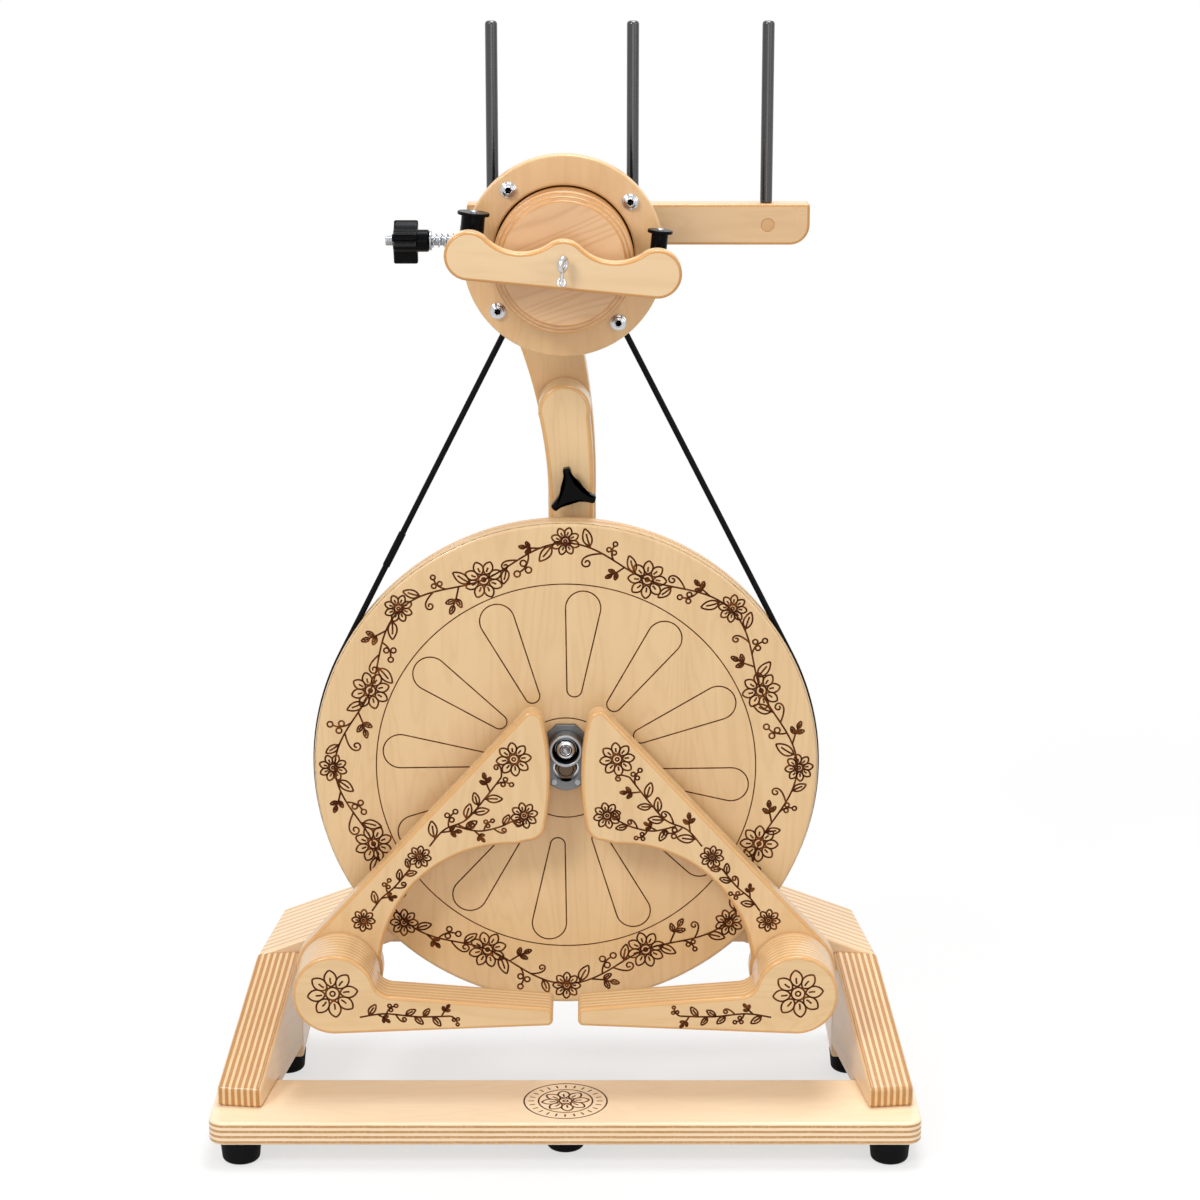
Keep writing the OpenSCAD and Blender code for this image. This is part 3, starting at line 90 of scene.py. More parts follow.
WHEEL_AXIS_Z = 284 * MM
HEAD_AXIS_Z = 704 * MM

ORIGIN: Point3 = (0.0, 0.0, 0.0)
LYING: Point3 = (0.0, 0.0, 0.0)
UPRIGHT: Point3 = (math.pi / 2, 0.0, 0.0)
FULL_SIZE: Point3 = (1.0, 1.0, 1.0)
WHITE: Colour = (1.0, 1.0, 1.0, 1.0)


def srgb(red: int, green: int, blue: int) -> Colour:
    """Gives a screen colour as the linear colour that a shader takes.

    Args:
        red: Red part, 0 to 255.
        green: Green part, 0 to 255.
        blue: Blue part, 0 to 255.

    Returns:
        Linear red, green, blue and an alpha of one.
    """
    levels = (part / 255 for part in (red, green, blue))
    linear = (v / 12.92 if v <= 0.04045 else ((v + 0.055) / 1.055) ** 2.4 for v in levels)
    return (*linear, 1.0)


def grey(level: float) -> Colour:
    """A linear grey from zero to one."""
    return (level, level, level, 1.0)


def polar(radius: float, turn: float) -> Point2:
    """The point at a distance from the centre and an angle in radians."""
    return (radius * math.cos(turn), radius * math.sin(turn))


class Axis(Enum):
    """The direction that wood grain or a brushed surface runs in."""

    X = 0
    Y = 1
    Z = 2

    def stretch(self, along: float, across: float) -> Point3:
        """Scale that makes a pattern long in this direction."""
        return tuple(along if i == self.value else across for i in range(3))


class Side(Enum):
    """The spinner's left or right, with its direction along X."""

    LEFT = -1.0
    RIGHT = 1.0

    def named(self, piece: str) -> str:
        """Name of this side's piece of a kind."""
        return f"{self.name.lower()}_{piece}"


class Seed(Enum):
    """Fixed seeds of the random numbers, one for each use."""

    LEAF_LEAN = 3
    LEAF_SIZE = 5
    FLOWER_TURN = 11


class Motif(Enum):
    """What grows instead of a leaf at some places of each round along a vine."""

    SPRIG = 2.0
    BERRIES = 3.0
    CURL = 4.0


class Wire:
    """One output in a node tree, with arithmetic that adds the nodes for it."""

    def __init__(self, graph: "Graph", socket: bpy.types.NodeSocket) -> None:
        """Keeps the output and the tree that it belongs to."""
        self.graph = graph
        self.socket = socket

    def __add__(self, other: "Wire | float") -> "Wire":
        """This value plus another."""
        return self.graph.math("ADD", self, other)

    def __radd__(self, other: float) -> "Wire":
        """A number plus this value."""
        return self.graph.math("ADD", other, self)

    def __sub__(self, other: "Wire | float") -> "Wire":
        """This value less another."""
        return self.graph.math("SUBTRACT", self, other)

    def __rsub__(self, other: float) -> "Wire":
        """A number less this value."""
        return self.graph.math("SUBTRACT", other, self)

    def __mul__(self, other: "Wire | float") -> "Wire":
        """This value times another."""
        return self.graph.math("MULTIPLY", self, other)

    def __rmul__(self, other: float) -> "Wire":
        """A number times this value."""
        return self.graph.math("MULTIPLY", other, self)

    def __truediv__(self, other: "Wire | float") -> "Wire":
        """This value divided by another."""
        return self.graph.math("DIVIDE", self, other)

    def __rtruediv__(self, other: float) -> "Wire":
        """A number divided by this value."""
        return self.graph.math("DIVIDE", other, self)

    def __pow__(self, other: "Wire | float") -> "Wire":
        """This value raised to a power."""
        return self.graph.math("POWER", self, other)

    def __rpow__(self, other: float) -> "Wire":
        """A number raised to this value."""
        return self.graph.math("POWER", other, self)

    def __mod__(self, other: "Wire | float") -> "Wire":
        """What is left of this value after whole steps of another."""
        return self.graph.math("FLOORED_MODULO", self, other)

    def __rmod__(self, other: float) -> "Wire":
        """What is left of a number after whole steps of this value."""
        return self.graph.math("FLOORED_MODULO", other, self)

    def sine(self) -> "Wire":
        """Sine of the value, in radians."""
        return self.graph.math("SINE", self)

    def step(self, low: float, high: float) -> "Wire":
        """Rises smoothly from zero to one.

        Args:
            low: Where the rise starts.
            high: Where it ends.

        Returns:
            The share of the rise.
        """
        sockets = {"Value": self, "From Min": low, "From Max": high}
        settings = {"interpolation_type": "SMOOTHSTEP"}
        return self.graph.wire("ShaderNodeMapRange", "Result", settings, sockets)


class Graph:
    """A node tree that is filled by calls."""

    def __init__(self, tree: bpy.types.NodeTree) -> None:
        """Takes the tree to fill, and empties it."""
        self.tree = tree
        self.tree.nodes.clear()

    def node(
        self, kind: str, settings: Settings | None = None, sockets: Sockets | None = None
    ) -> bpy.types.Node:
        """Adds any node.

        Args:
            kind: Blender's name for the node's type.
            settings: Properties of the node itself.
            sockets: Inputs by name or number, each a Wire, several Wires or a constant.

        Returns:
            The new node.
        """
        made = self.tree.nodes.new(kind)
        for name, value in (settings or {}).items():
            setattr(made, name, value)
        for key, value in (sockets or {}).items():
            for one in value if isinstance(value, list) else [value]:
                if isinstance(one, Wire):
                    self.tree.links.new(one.socket, made.inputs[key])
                else:
                    made.inputs[key].default_value = one
        return made

    def wire(
        self,
        kind: str,
        output: str | int,
        settings: Settings | None = None,
        sockets: Sockets | None = None,
    ) -> Wire:
        """Adds a node and returns one of its outputs."""
        return Wire(self, self.node(kind, settings, sockets).outputs[output])

    def math(self, operation: str, a: Wire | float, b: Wire | float = 0.0) -> Wire:
        """Adds one step of arithmetic on numbers."""
        return self.wire("ShaderNodeMath", 0, {"operation": operation}, {0: a, 1: b})

    def vector(self, operation: str, a: Wire, b: Wire | Point3 = ORIGIN) -> Wire:
        """Adds one step of arithmetic on vectors; a dot product or a length is a number."""
        output = "Value" if operation in ("DOT_PRODUCT", "LENGTH") else "Vector"
        return self.wire("ShaderNodeVectorMath", output, {"operation": operation}, {0: a, 1: b})

    def seen(self) -> Wire:
        """Tells which rays are seen.

        Returns:
            One for a ray that is seen straight, in a reflection or through glass.
        """
        rays = self.node("ShaderNodeLightPath")
        kinds = ("Is Camera Ray", "Is Glossy Ray", "Is Transmission Ray")
        straight, mirrored, through = (Wire(self, rays.outputs[kind]) for kind in kinds)
        return straight + mirrored + through


class ShaderGraph(Graph):
    """The node tree of one material."""

    def __init__(self, name: str) -> None:
        """Makes an empty material.

        Args:
            name: Name of the material.
        """
        self.material = bpy.data.materials.new(name)
        self.material.use_nodes = True
        super().__init__(self.material.node_tree)

    def place(self) -> Wire:
        """Where the shaded point lies in the object's own frame."""
        return self.wire("ShaderNodeTexCoord", "Object")

    def noise(
        self, at: Wire, scale: Point3 | float, detail: float = 2.0, twist: float = 0.0
    ) -> Wire:
        """Adds smooth noise from zero to one.

        Args:
            at: Where the shaded point lies.
            scale: Waves in a metre, on every axis alike or on each one.
            detail: How many finer layers there are.
            twist: How far the noise is bent by itself.

        Returns:
            The noise.
        """
        waves = scale if isinstance(scale, tuple) else (scale,) * 3
        sockets = {
            "Vector": self.vector("MULTIPLY", at, waves),
            "Scale": 1.0,
            "Detail": detail,
            "Distortion": twist,
        }
        return self.wire("ShaderNodeTexNoise", "Fac", None, sockets)

    def blend(self, low: Wire | Colour, high: Wire | Colour, share: Wire | float) -> Wire:
        """Mixes two colours by a share from zero to one."""
        sockets = {0: share, 6: low, 7: high}
        return self.wire("ShaderNodeMix", 2, {"data_type": "RGBA"}, sockets)

    def bump(self, height: Wire, strength: float, distance: float) -> Wire:
        """Turns a height into a bent normal."""
        sockets = {"Strength": strength, "Distance": distance, "Height": height}
        return self.wire("ShaderNodeBump", "Normal", None, sockets)

    def end(self, shader: Wire) -> bpy.types.Material:
        """Ends the tree with a shader and gives its material."""
        self.node("ShaderNodeOutputMaterial", None, {"Surface": shader})
        return self.material


@dataclass(frozen=True)
class Finish:
    """A surface that a material can be made from."""

    name: str

    def material(self) -> bpy.types.Material:
        """Builds the material.

        Returns:
            A new material with one general surface shader.
        """
        graph = ShaderGraph(self.name)
        sockets = self.sockets(graph, graph.place())
        return graph.end(graph.wire("ShaderNodeBsdfPrincipled", "BSDF", None, sockets))

    def sockets(self, graph: ShaderGraph, at: Wire) -> Sockets:
        """Draws what the surface shader takes.

        Args:
            graph: The tree to add to.
            at: Where the shaded point lies.

        Returns:
            Values and wires by the name of the shader's input.
        """
        raise NotImplementedError


@dataclass(frozen=True)
class Maple(Finish):
    """Solid maple under oil, with its grain along one axis."""

    grain: Axis = Axis.Z
    light: Colour = srgb(231, 197, 148)
    dark: Colour = srgb(205, 161, 109)
    rough: float = 0.4
    contrast: float = 0.16
    lean: float = 0.0
    growth_lines: float = 105.0
    patch_share: float = 0.22
    fleck_share: float = 0.22

    # Waves in a metre along and across the grain
    cloud_waves: ClassVar[Point2] = (2.6, 17.0)
    patch_waves: ClassVar[Point2] = (5.0, 34.0)
    pore_waves: ClassVar[Point2] = (60.0, 1500.0)

    oil: ClassVar[Sockets] = {
        "Specular IOR Level": 0.4,
        "Coat Weight": 0.45,
        "Coat Roughness": 0.16,
    }

    def figure(self, graph: ShaderGraph, at: Wire) -> tuple[Wire, Wire]:
        """Draws the growth lines and the pores.

        Args:
            graph: The tree to add to.
            at: Where the shaded point lies.

        Returns:
            The wood's colour, and the fine pores for roughness and bump.
        """
        sockets = {"Vector": at, "Angle": self.lean}
        at = graph.wire("ShaderNodeVectorRotate", 0, {"rotation_type": "Y_AXIS"}, sockets)
        cloud = graph.noise(at, self.grain.stretch(*self.cloud_waves), 3.0, 0.35)
        lines = (cloud * self.growth_lines).sine() * 0.5 + 0.5
        patch = graph.noise(at, self.grain.stretch(*self.patch_waves)).step(0.3, 0.75)
        pores = graph.noise(at, self.grain.stretch(*self.pore_waves))
        flecks = pores.step(0.6, 0.78)
        stained = patch * self.patch_share + flecks * self.fleck_share
        return graph.blend(self.light, self.dark, lines**3.0 * self.contrast + stained), pores

    def sockets(self, graph: ShaderGraph, at: Wire) -> Sockets:
        """Draws oiled wood.

        Args:
            graph: The tree to add to.
            at: Where the shaded point lies.

        Returns:
            Values and wires by the name of the shader's input.
        """
        colour, pores = self.figure(graph, at)
        return {
            "Base Color": colour,
            "Roughness": pores * 0.16 + (self.rough - 0.08),
            "Normal": graph.bump(pores, 0.1, 0.15 * MM),
            **self.oil,
        }


@dataclass(frozen=True)
class Plywood(Maple):
    """Birch plywood whose layers run right through the piece."""

    stack: Point3 = (0.0, 1.0, 0.0)
    start: float = 0.0
    period: float = 4.2 * MM
    pale_share: float = 0.5
    edge_pale: Colour = srgb(240, 208, 160)
    edge_brown: Colour = srgb(206, 154, 96)

    # How much of a period is cut off at each face of a board
    first_cut: ClassVar[float] = 0.08
    last_cut: ClassVar[float] = 0.12

    @classmethod
    def sheet(
        cls, name: str, low: float, thick: float, layers: int, **rest: object
    ) -> "Plywood":
        """A board whose two faces both lie inside a pale layer.

        Args:
            name: Name of the material.
            low: Where the first face lies along the stack.
            thick: Thickness of the board.
            layers: How many brown layers show in its edge.
            rest: Any other field of the finish.

        Returns:
            The finish.
        """
        share = rest.get("pale_share", cls.pale_share)
        period = thick / (layers + share - (cls.first_cut + cls.last_cut))
        return cls(name, start=low - cls.first_cut * period, period=period, **rest)

    def sockets(self, graph: ShaderGraph, at: Wire) -> Sockets:
        """Draws layered wood.

        Args:
            graph: The tree to add to.
            at: Where the shaded point lies.

        Returns:
            Values and wires by the name of the shader's input.
        """
        colour, pores = self.figure(graph, at)
        wobble = (graph.noise(at, 55.0) - 0.5) * (0.5 * MM)
        depth = graph.vector("DOT_PRODUCT", at, self.stack) - self.start
        layer = (depth + wobble) / self.period % 1.0
        rise = layer.step(self.pale_share - 0.06, self.pale_share + 0.06)
        brown = rise * (1.0 - layer.step(0.93, 1.0))
        specks = graph.noise(at, 420.0, 3.0).step(0.45, 0.8)
        streak = graph.noise(at, 24.0)
        pale = specks * 0.35 + streak * 0.25
        end_grain = graph.blend(self.edge_brown, self.edge_pale, pale)
        return {
            "Base Color": graph.blend(colour, end_grain, brown),
            "Roughness": pores * 0.14 + brown * 0.1 + (self.rough - 0.07),
            "Normal": graph.bump(pores + brown * 0.6, 0.12, 0.18 * MM),
            **self.oil,
        }


@dataclass(frozen=True)
class Moulded(Finish):
    """Plastic, rubber or painted metal with a fine uneven skin."""

    colour: Colour = srgb(3, 3, 4)
    worn: Colour = srgb(11, 11, 12)
    rough: float = 0.24
    grain: float = 900.0
    relief: float = 0.05
    shine: float = 0.06

    def sockets(self, graph: ShaderGraph, at: Wire) -> Sockets:
        """Draws an uneven skin.

        Args:
            graph: The tree to add to.
            at: Where the shaded point lies.

        Returns:
            Values and wires by the name of the shader's input.
        """
        skin = graph.noise(at, self.grain, 3.0)
        patch = graph.noise(at, 40.0)
        return {
            "Base Color": graph.blend(self.colour, self.worn, skin * 0.5 + patch * 0.3),
            "Roughness": skin * 0.12 + patch * 0.1 + (self.rough - 0.1),
            "Normal": graph.bump(skin, self.relief, 0.2 * MM),
            "Specular IOR Level": self.shine,
        }


@dataclass(frozen=True)
class Metal(Finish):
    """Bare metal, brushed along one axis."""

    grain: Axis = Axis.Y
    bright: Colour = srgb(206, 208, 210)
    dull: Colour = srgb(150, 152, 155)
    rough: float = 0.28
    relief: float = 0.03

    def sockets(self, graph: ShaderGraph, at: Wire) -> Sockets:
        """Draws brushed metal.

        Args:
            graph: The tree to add to.
            at: Where the shaded point lies.

        Returns:
            Values and wires by the name of the shader's input.
        """
        brush = graph.noise(at, self.grain.stretch(60.0, 2600.0))
        cloud = graph.noise(at, 120.0, 3.0)
        return {
            "Base Color": graph.blend(self.bright, self.dull, brush * 0.4 + cloud * 0.4),
            "Metallic": 1.0,
            "Roughness": brush * 0.1 + cloud * 0.1 + (self.rough - 0.1),
            "Normal": graph.bump(brush, self.relief, 0.1 * MM),
        }


@dataclass(frozen=True)
class Burnt(Finish):
    """Lines burnt into wood, darker where the beam went slowly."""

    dark: Colour = srgb(76, 35, 9)
    pale: Colour = srgb(128, 74, 30)

    def sockets(self, graph: ShaderGraph, at: Wire) -> Sockets:
        """Draws charred wood.

        Args:
            graph: The tree to add to.
            at: Where the shaded point lies.

        Returns:
            Values and wires by the name of the shader's input.
        """
        quick = graph.noise(at, 160.0).step(0.42, 0.72)
        ash = graph.noise(at, 1400.0)
        return {
            "Base Color": graph.blend(self.dark, self.pale, quick * 0.8),
            "Roughness": ash * 0.2 + 0.6,
            "Normal": graph.bump(ash, 0.1, 0.1 * MM),
            "Specular IOR Level": 0.1,
        }


@dataclass(frozen=True)
class Cotton(Finish):
    """Twisted cotton yarn."""

    pale: Colour = srgb(236, 230, 214)
    dark: Colour = srgb(196, 186, 164)

    def sockets(self, graph: ShaderGraph, at: Wire) -> Sockets:
        """Draws fluffy yarn.

        Args:
            graph: The tree to add to.
            at: Where the shaded point lies.

        Returns:
            Values and wires by the name of the shader's input.
        """
        fluff = graph.noise(at, 1800.0, 3.0)
        return {
            "Base Color": graph.blend(self.dark, self.pale, fluff.step(0.3, 0.65)),
            "Roughness": fluff * 0.15 + 0.78,
            "Normal": graph.bump(fluff, 0.3, 0.2 * MM),
        }


class Palette:
    """The finishes in use, and the materials made of them, each built once."""

    black = Moulded("black_plastic")
    rod = Moulded("black_oxide", srgb(8, 8, 9), srgb(14, 14, 15), 0.24, 500.0, 0.004, 1.0)
    rubber = Moulded("foot_rubber", srgb(10, 10, 11), srgb(26, 26, 27), 0.6, 700.0, 0.2)
    belt = Moulded("belt_rubber", srgb(8, 8, 9), srgb(20, 20, 21), 0.4, 600.0, 0.05)
    steel = Metal("satin_steel", Axis.Y, srgb(178, 180, 183), srgb(126, 128, 132), 0.3)
    plate = Metal("blued_steel", Axis.Y, srgb(132, 133, 134), srgb(92, 93, 95), 0.34)
    chrome = Metal(
        "polished_steel", Axis.Y, srgb(212, 213, 216), srgb(178, 180, 183), 0.15, 0.005
    )
    bronze = Metal("dull_bronze", Axis.Y, srgb(188, 146, 92), srgb(140, 104, 62), 0.38)
    dark_bronze = Metal("dark_bronze", Axis.Y, srgb(112, 96, 78), srgb(72, 62, 52), 0.4)
    ink = Burnt("burnt_line")
    cotton = Cotton("cotton_cord")
    maple_up = Maple("maple_upright", Axis.Z)
    # Darker than the upright's maple as painted shade: the neck lies in the shadow of the flyer and bobbin.
    maple_neck = Maple("maple_neck", Axis.Z, srgb(216, 174, 122), srgb(190, 144, 92))
    maple_across = Maple("maple_across", Axis.X, srgb(232, 199, 153), srgb(208, 165, 114))
    maple_bar = Maple("maple_bar", Axis.X, srgb(220, 182, 135), srgb(194, 150, 102))
    # Softened edges: partly the cross grain and layers that a rounding cuts, partly painted shade of the
    # rounding.
    maple_edge = Maple("maple_edge", Axis.X, srgb(208, 150, 82), srgb(180, 122, 60), 0.32)
    ply_edge = Maple("ply_edge", Axis.X, srgb(222, 172, 110), srgb(198, 144, 84), 0.32)
    maple_turned = Maple(
        "maple_turned",
        Axis.X,
        srgb(222, 181, 134),
        srgb(184, 132, 86),
        contrast=0.3,
        lean=math.radians(24),
    )
    maple_end = Maple("maple_end_grain", Axis.Y, srgb(206, 160, 104), srgb(178, 128, 76))

    def __init__(self) -> None:
        """Starts with nothing built."""
        self.built: dict[Finish, bpy.types.Material] = {}

    def __getitem__(self, finish: Finish) -> bpy.types.Material:
        """Gives the material for a finish.

        Args:
            finish: The finish.

        Returns:
            The material, built when it is first asked for.
        """
        if finish not in self.built:
            self.built[finish] = finish.material()
        return self.built[finish]


class GeometryGraph(Graph):
    """A geometry tree with named inputs, run once on a mesh to grow a plain mesh from it."""

    line_sides = 6
    line_height = 0.12
    curve_steps = 10

    def __init__(self, name: str, inputs: dict[str, tuple[str, object]]) -> None:
        """Makes the tree.

        Args:
            name: Name of the tree.
            inputs: Kind and first value of each named input.
        """
        self.group = bpy.data.node_groups.new(name, "GeometryNodeTree")
        super().__init__(self.group)
        face = self.group.interface
        for way in ("INPUT", "OUTPUT"):
            face.new_socket(name="Geometry", in_out=way, socket_type="NodeSocketGeometry")
        self.keys: dict[str, str] = {}
        for title, (kind, first) in inputs.items():
            made = face.new_socket(name=title, in_out="INPUT", socket_type="NodeSocket" + kind)
            if first is not None:
                made.default_value = first
            self.keys[title] = made.identifier
        self.entry = self.node("NodeGroupInput")

    def given(self, title: str) -> Wire:
        """The wire of a named input."""
        return Wire(self, self.entry.outputs[title])

    def path(self) -> Wire:
        """The edges of the mesh that the tree starts from, as curves."""
        return self.wire("GeometryNodeMeshToCurve", 0, None, {0: self.given("Geometry")})

    def index(self) -> Wire:
        """The number of each point."""
        return self.wire("GeometryNodeInputIndex", 0)

    def attribute(self, name: str) -> Wire:
        """A number that the mesh holds for each point or face."""
        settings = {"data_type": "FLOAT"}
        return self.wire("GeometryNodeInputNamedAttribute", 0, settings, {"Name": name})

    def random(self, low: float, high: float, seed: Seed) -> Wire:
        """A fixed random number for each point."""
        sockets = {2: low, 3: high, 8: seed.value}
        return self.wire("FunctionNodeRandomValue", 1, {"data_type": "FLOAT"}, sockets)

    def join(self, *parts: Wire) -> Wire:
        """Puts several geometries together."""
        return self.wire("GeometryNodeJoinGeometry", 0, None, {0: list(parts)})

    def moved(
        self,
        part: Wire,
        shift: Wire | Point3 = ORIGIN,
        turn: Wire | Point3 = LYING,
        scale: Point3 = FULL_SIZE,
    ) -> Wire:
        """Shifts, turns and scales a geometry."""
        sockets = {0: part, "Translation": shift, "Rotation": turn, "Scale": scale}
        return self.wire("GeometryNodeTransform", 0, None, sockets)

    def combine(self, x: Wire | float, y: Wire | float, z: Wire | float) -> Wire:
        """Makes a vector of three numbers."""
        return self.wire("ShaderNodeCombineXYZ", 0, None, {0: x, 1: y, 2: z})

    def circle(self, radius: Wire | float, sides: int) -> Wire:
        """A round outline in the XY plane."""
        sockets = {"Resolution": sides, "Radius": radius}
        return self.wire("GeometryNodeCurvePrimitiveCircle", "Curve", None, sockets)

    def bezier(self, start: Point2, lead: Point2, follow: Point2, end: Point2) -> Wire:
        """Draws one smooth curve in the XY plane.

        Args:
            start: Where the curve starts.
            lead: What it first heads for.
            follow: What it last comes from.
            end: Where it ends.

        Returns:
            The curve.
        """
        titles = ("Start", "Start Handle", "End Handle", "End")
        sockets: Sockets = {"Resolution": self.curve_steps}
        for title, point in zip(titles, (start, lead, follow, end)):
            sockets[title] = (*point, 0.0)
        kind = "GeometryNodeCurvePrimitiveBezierSegment"
        return self.wire(kind, 0, {"mode": "POSITION"}, sockets)

    def tube(self, path: Wire, section: Wire) -> Wire:
        """Runs a section along a path and closes its ends."""
        sockets = {"Curve": path, "Profile Curve": section, "Fill Caps": True}
        return self.wire("GeometryNodeCurveToMesh", 0, None, sockets)

    def placed(
        self,
        part: Wire,
        points: Wire,
        turn: Wire,
        size: Wire | None = None,
        chosen: Wire | None = None,
    ) -> Wire:
        """Sets a copy of a geometry at each point.

        Args:
            part: The geometry.
            points: Where the copies go.
            turn: How each is turned.
            size: How large each is, if they are scaled.
            chosen: Which points get one, if not all do.

        Returns:
            The copies.
        """
        sockets: Sockets = {"Points": points, "Instance": part, "Rotation": turn}
        if size is not None:
            sockets["Scale"] = self.combine(size, size, size)
        if chosen is not None:
            sockets["Selection"] = chosen
        return self.wire("GeometryNodeInstanceOnPoints", 0, None, sockets)

    def copies(self, part: Wire, count: Wire | int, first: Wire | float) -> Wire:
        """Spreads copies of a geometry evenly round the Z axis.

        Args:
            part: The geometry.
            count: How many copies there are.
            first: Angle of the first one.

        Returns:
            The copies.
        """
        points = self.wire("GeometryNodeMeshLine", 0, None, {"Count": count, "Offset": ORIGIN})
        turn = self.combine(0.0, 0.0, self.index() * math.tau / count + first)
        return self.placed(part, points, turn)

    def realized(self, part: Wire) -> Wire:
        """Turns copies into plain geometry."""
        return self.wire("GeometryNodeRealizeInstances", 0, None, {0: part})

    def finish(self, part: Wire, recess: Wire | None = None) -> "GeometryGraph":
        """Ends the tree: plain geometry, smooth, in the material that was given.

        Args:
            part: The geometry.
            recess: Which faces take the recess's material instead, a darker one that paints shade into a
                socket, if any do.

        Returns:
            The finished tree.
        """
        smooth = self.wire("GeometryNodeSetShadeSmooth", 0, None, {0: self.realized(part)})
        done = self._painted(smooth, {"Material": self.given("Material")})
        if recess is not None:
            done = self._painted(done, {"Selection": recess, "Material": self.given("Recess")})
        self.node("NodeGroupOutput", None, {0: done})
        return self

    def _painted(self, part: Wire, sockets: Sockets) -> Wire:
        """Gives a geometry a material."""
        return self.wire("GeometryNodeSetMaterial", 0, None, {0: part, **sockets})

    def finish_flat(self, lines: Wire) -> "GeometryGraph":
        """Ends a tree of flat lines: thin ribbons on a face, moved to Centre.

        Args:
            lines: The lines, in the XY plane.

        Returns:
            The finished tree.
        """
        plain = self.realized(lines)
        section = self.circle(self.given("Line Width") * 0.5, self.line_sides)
        flat = self.moved(self.tube(plain, section), scale=(1.0, 1.0, self.line_height))
        return self.finish(self.moved(flat, self.given("Centre"), self.given("Turn")))

    def grow(self, name: str, seed: bpy.types.Mesh, values: Settings) -> bpy.types.Object:
        """Runs the tree on a mesh.

        Args:
            name: Name of the piece that is made.
            seed: The mesh that the tree starts from.
            values: Values of the named inputs.

        Returns:
            A new object with a plain mesh, at the origin.
        """
        scene = bpy.context.scene
        holder = bpy.data.objects.new(name + "_seed", seed)
        scene.collection.objects.link(holder)
        modifier = holder.modifiers.new("grow", "NODES")
        modifier.node_group = self.group
        for title, value in values.items():
            modifier[self.keys[title]] = value
        depsgraph = bpy.context.evaluated_depsgraph_get()
        shown = holder.evaluated_get(depsgraph)
        grown = bpy.data.meshes.new_from_object(shown, depsgraph=depsgraph)
        holder.modifiers.remove(modifier)
        bpy.data.objects.remove(holder)
        bpy.data.meshes.remove(seed)
        made = bpy.data.objects.new(name, grown)
        scene.collection.objects.link(made)
        return made


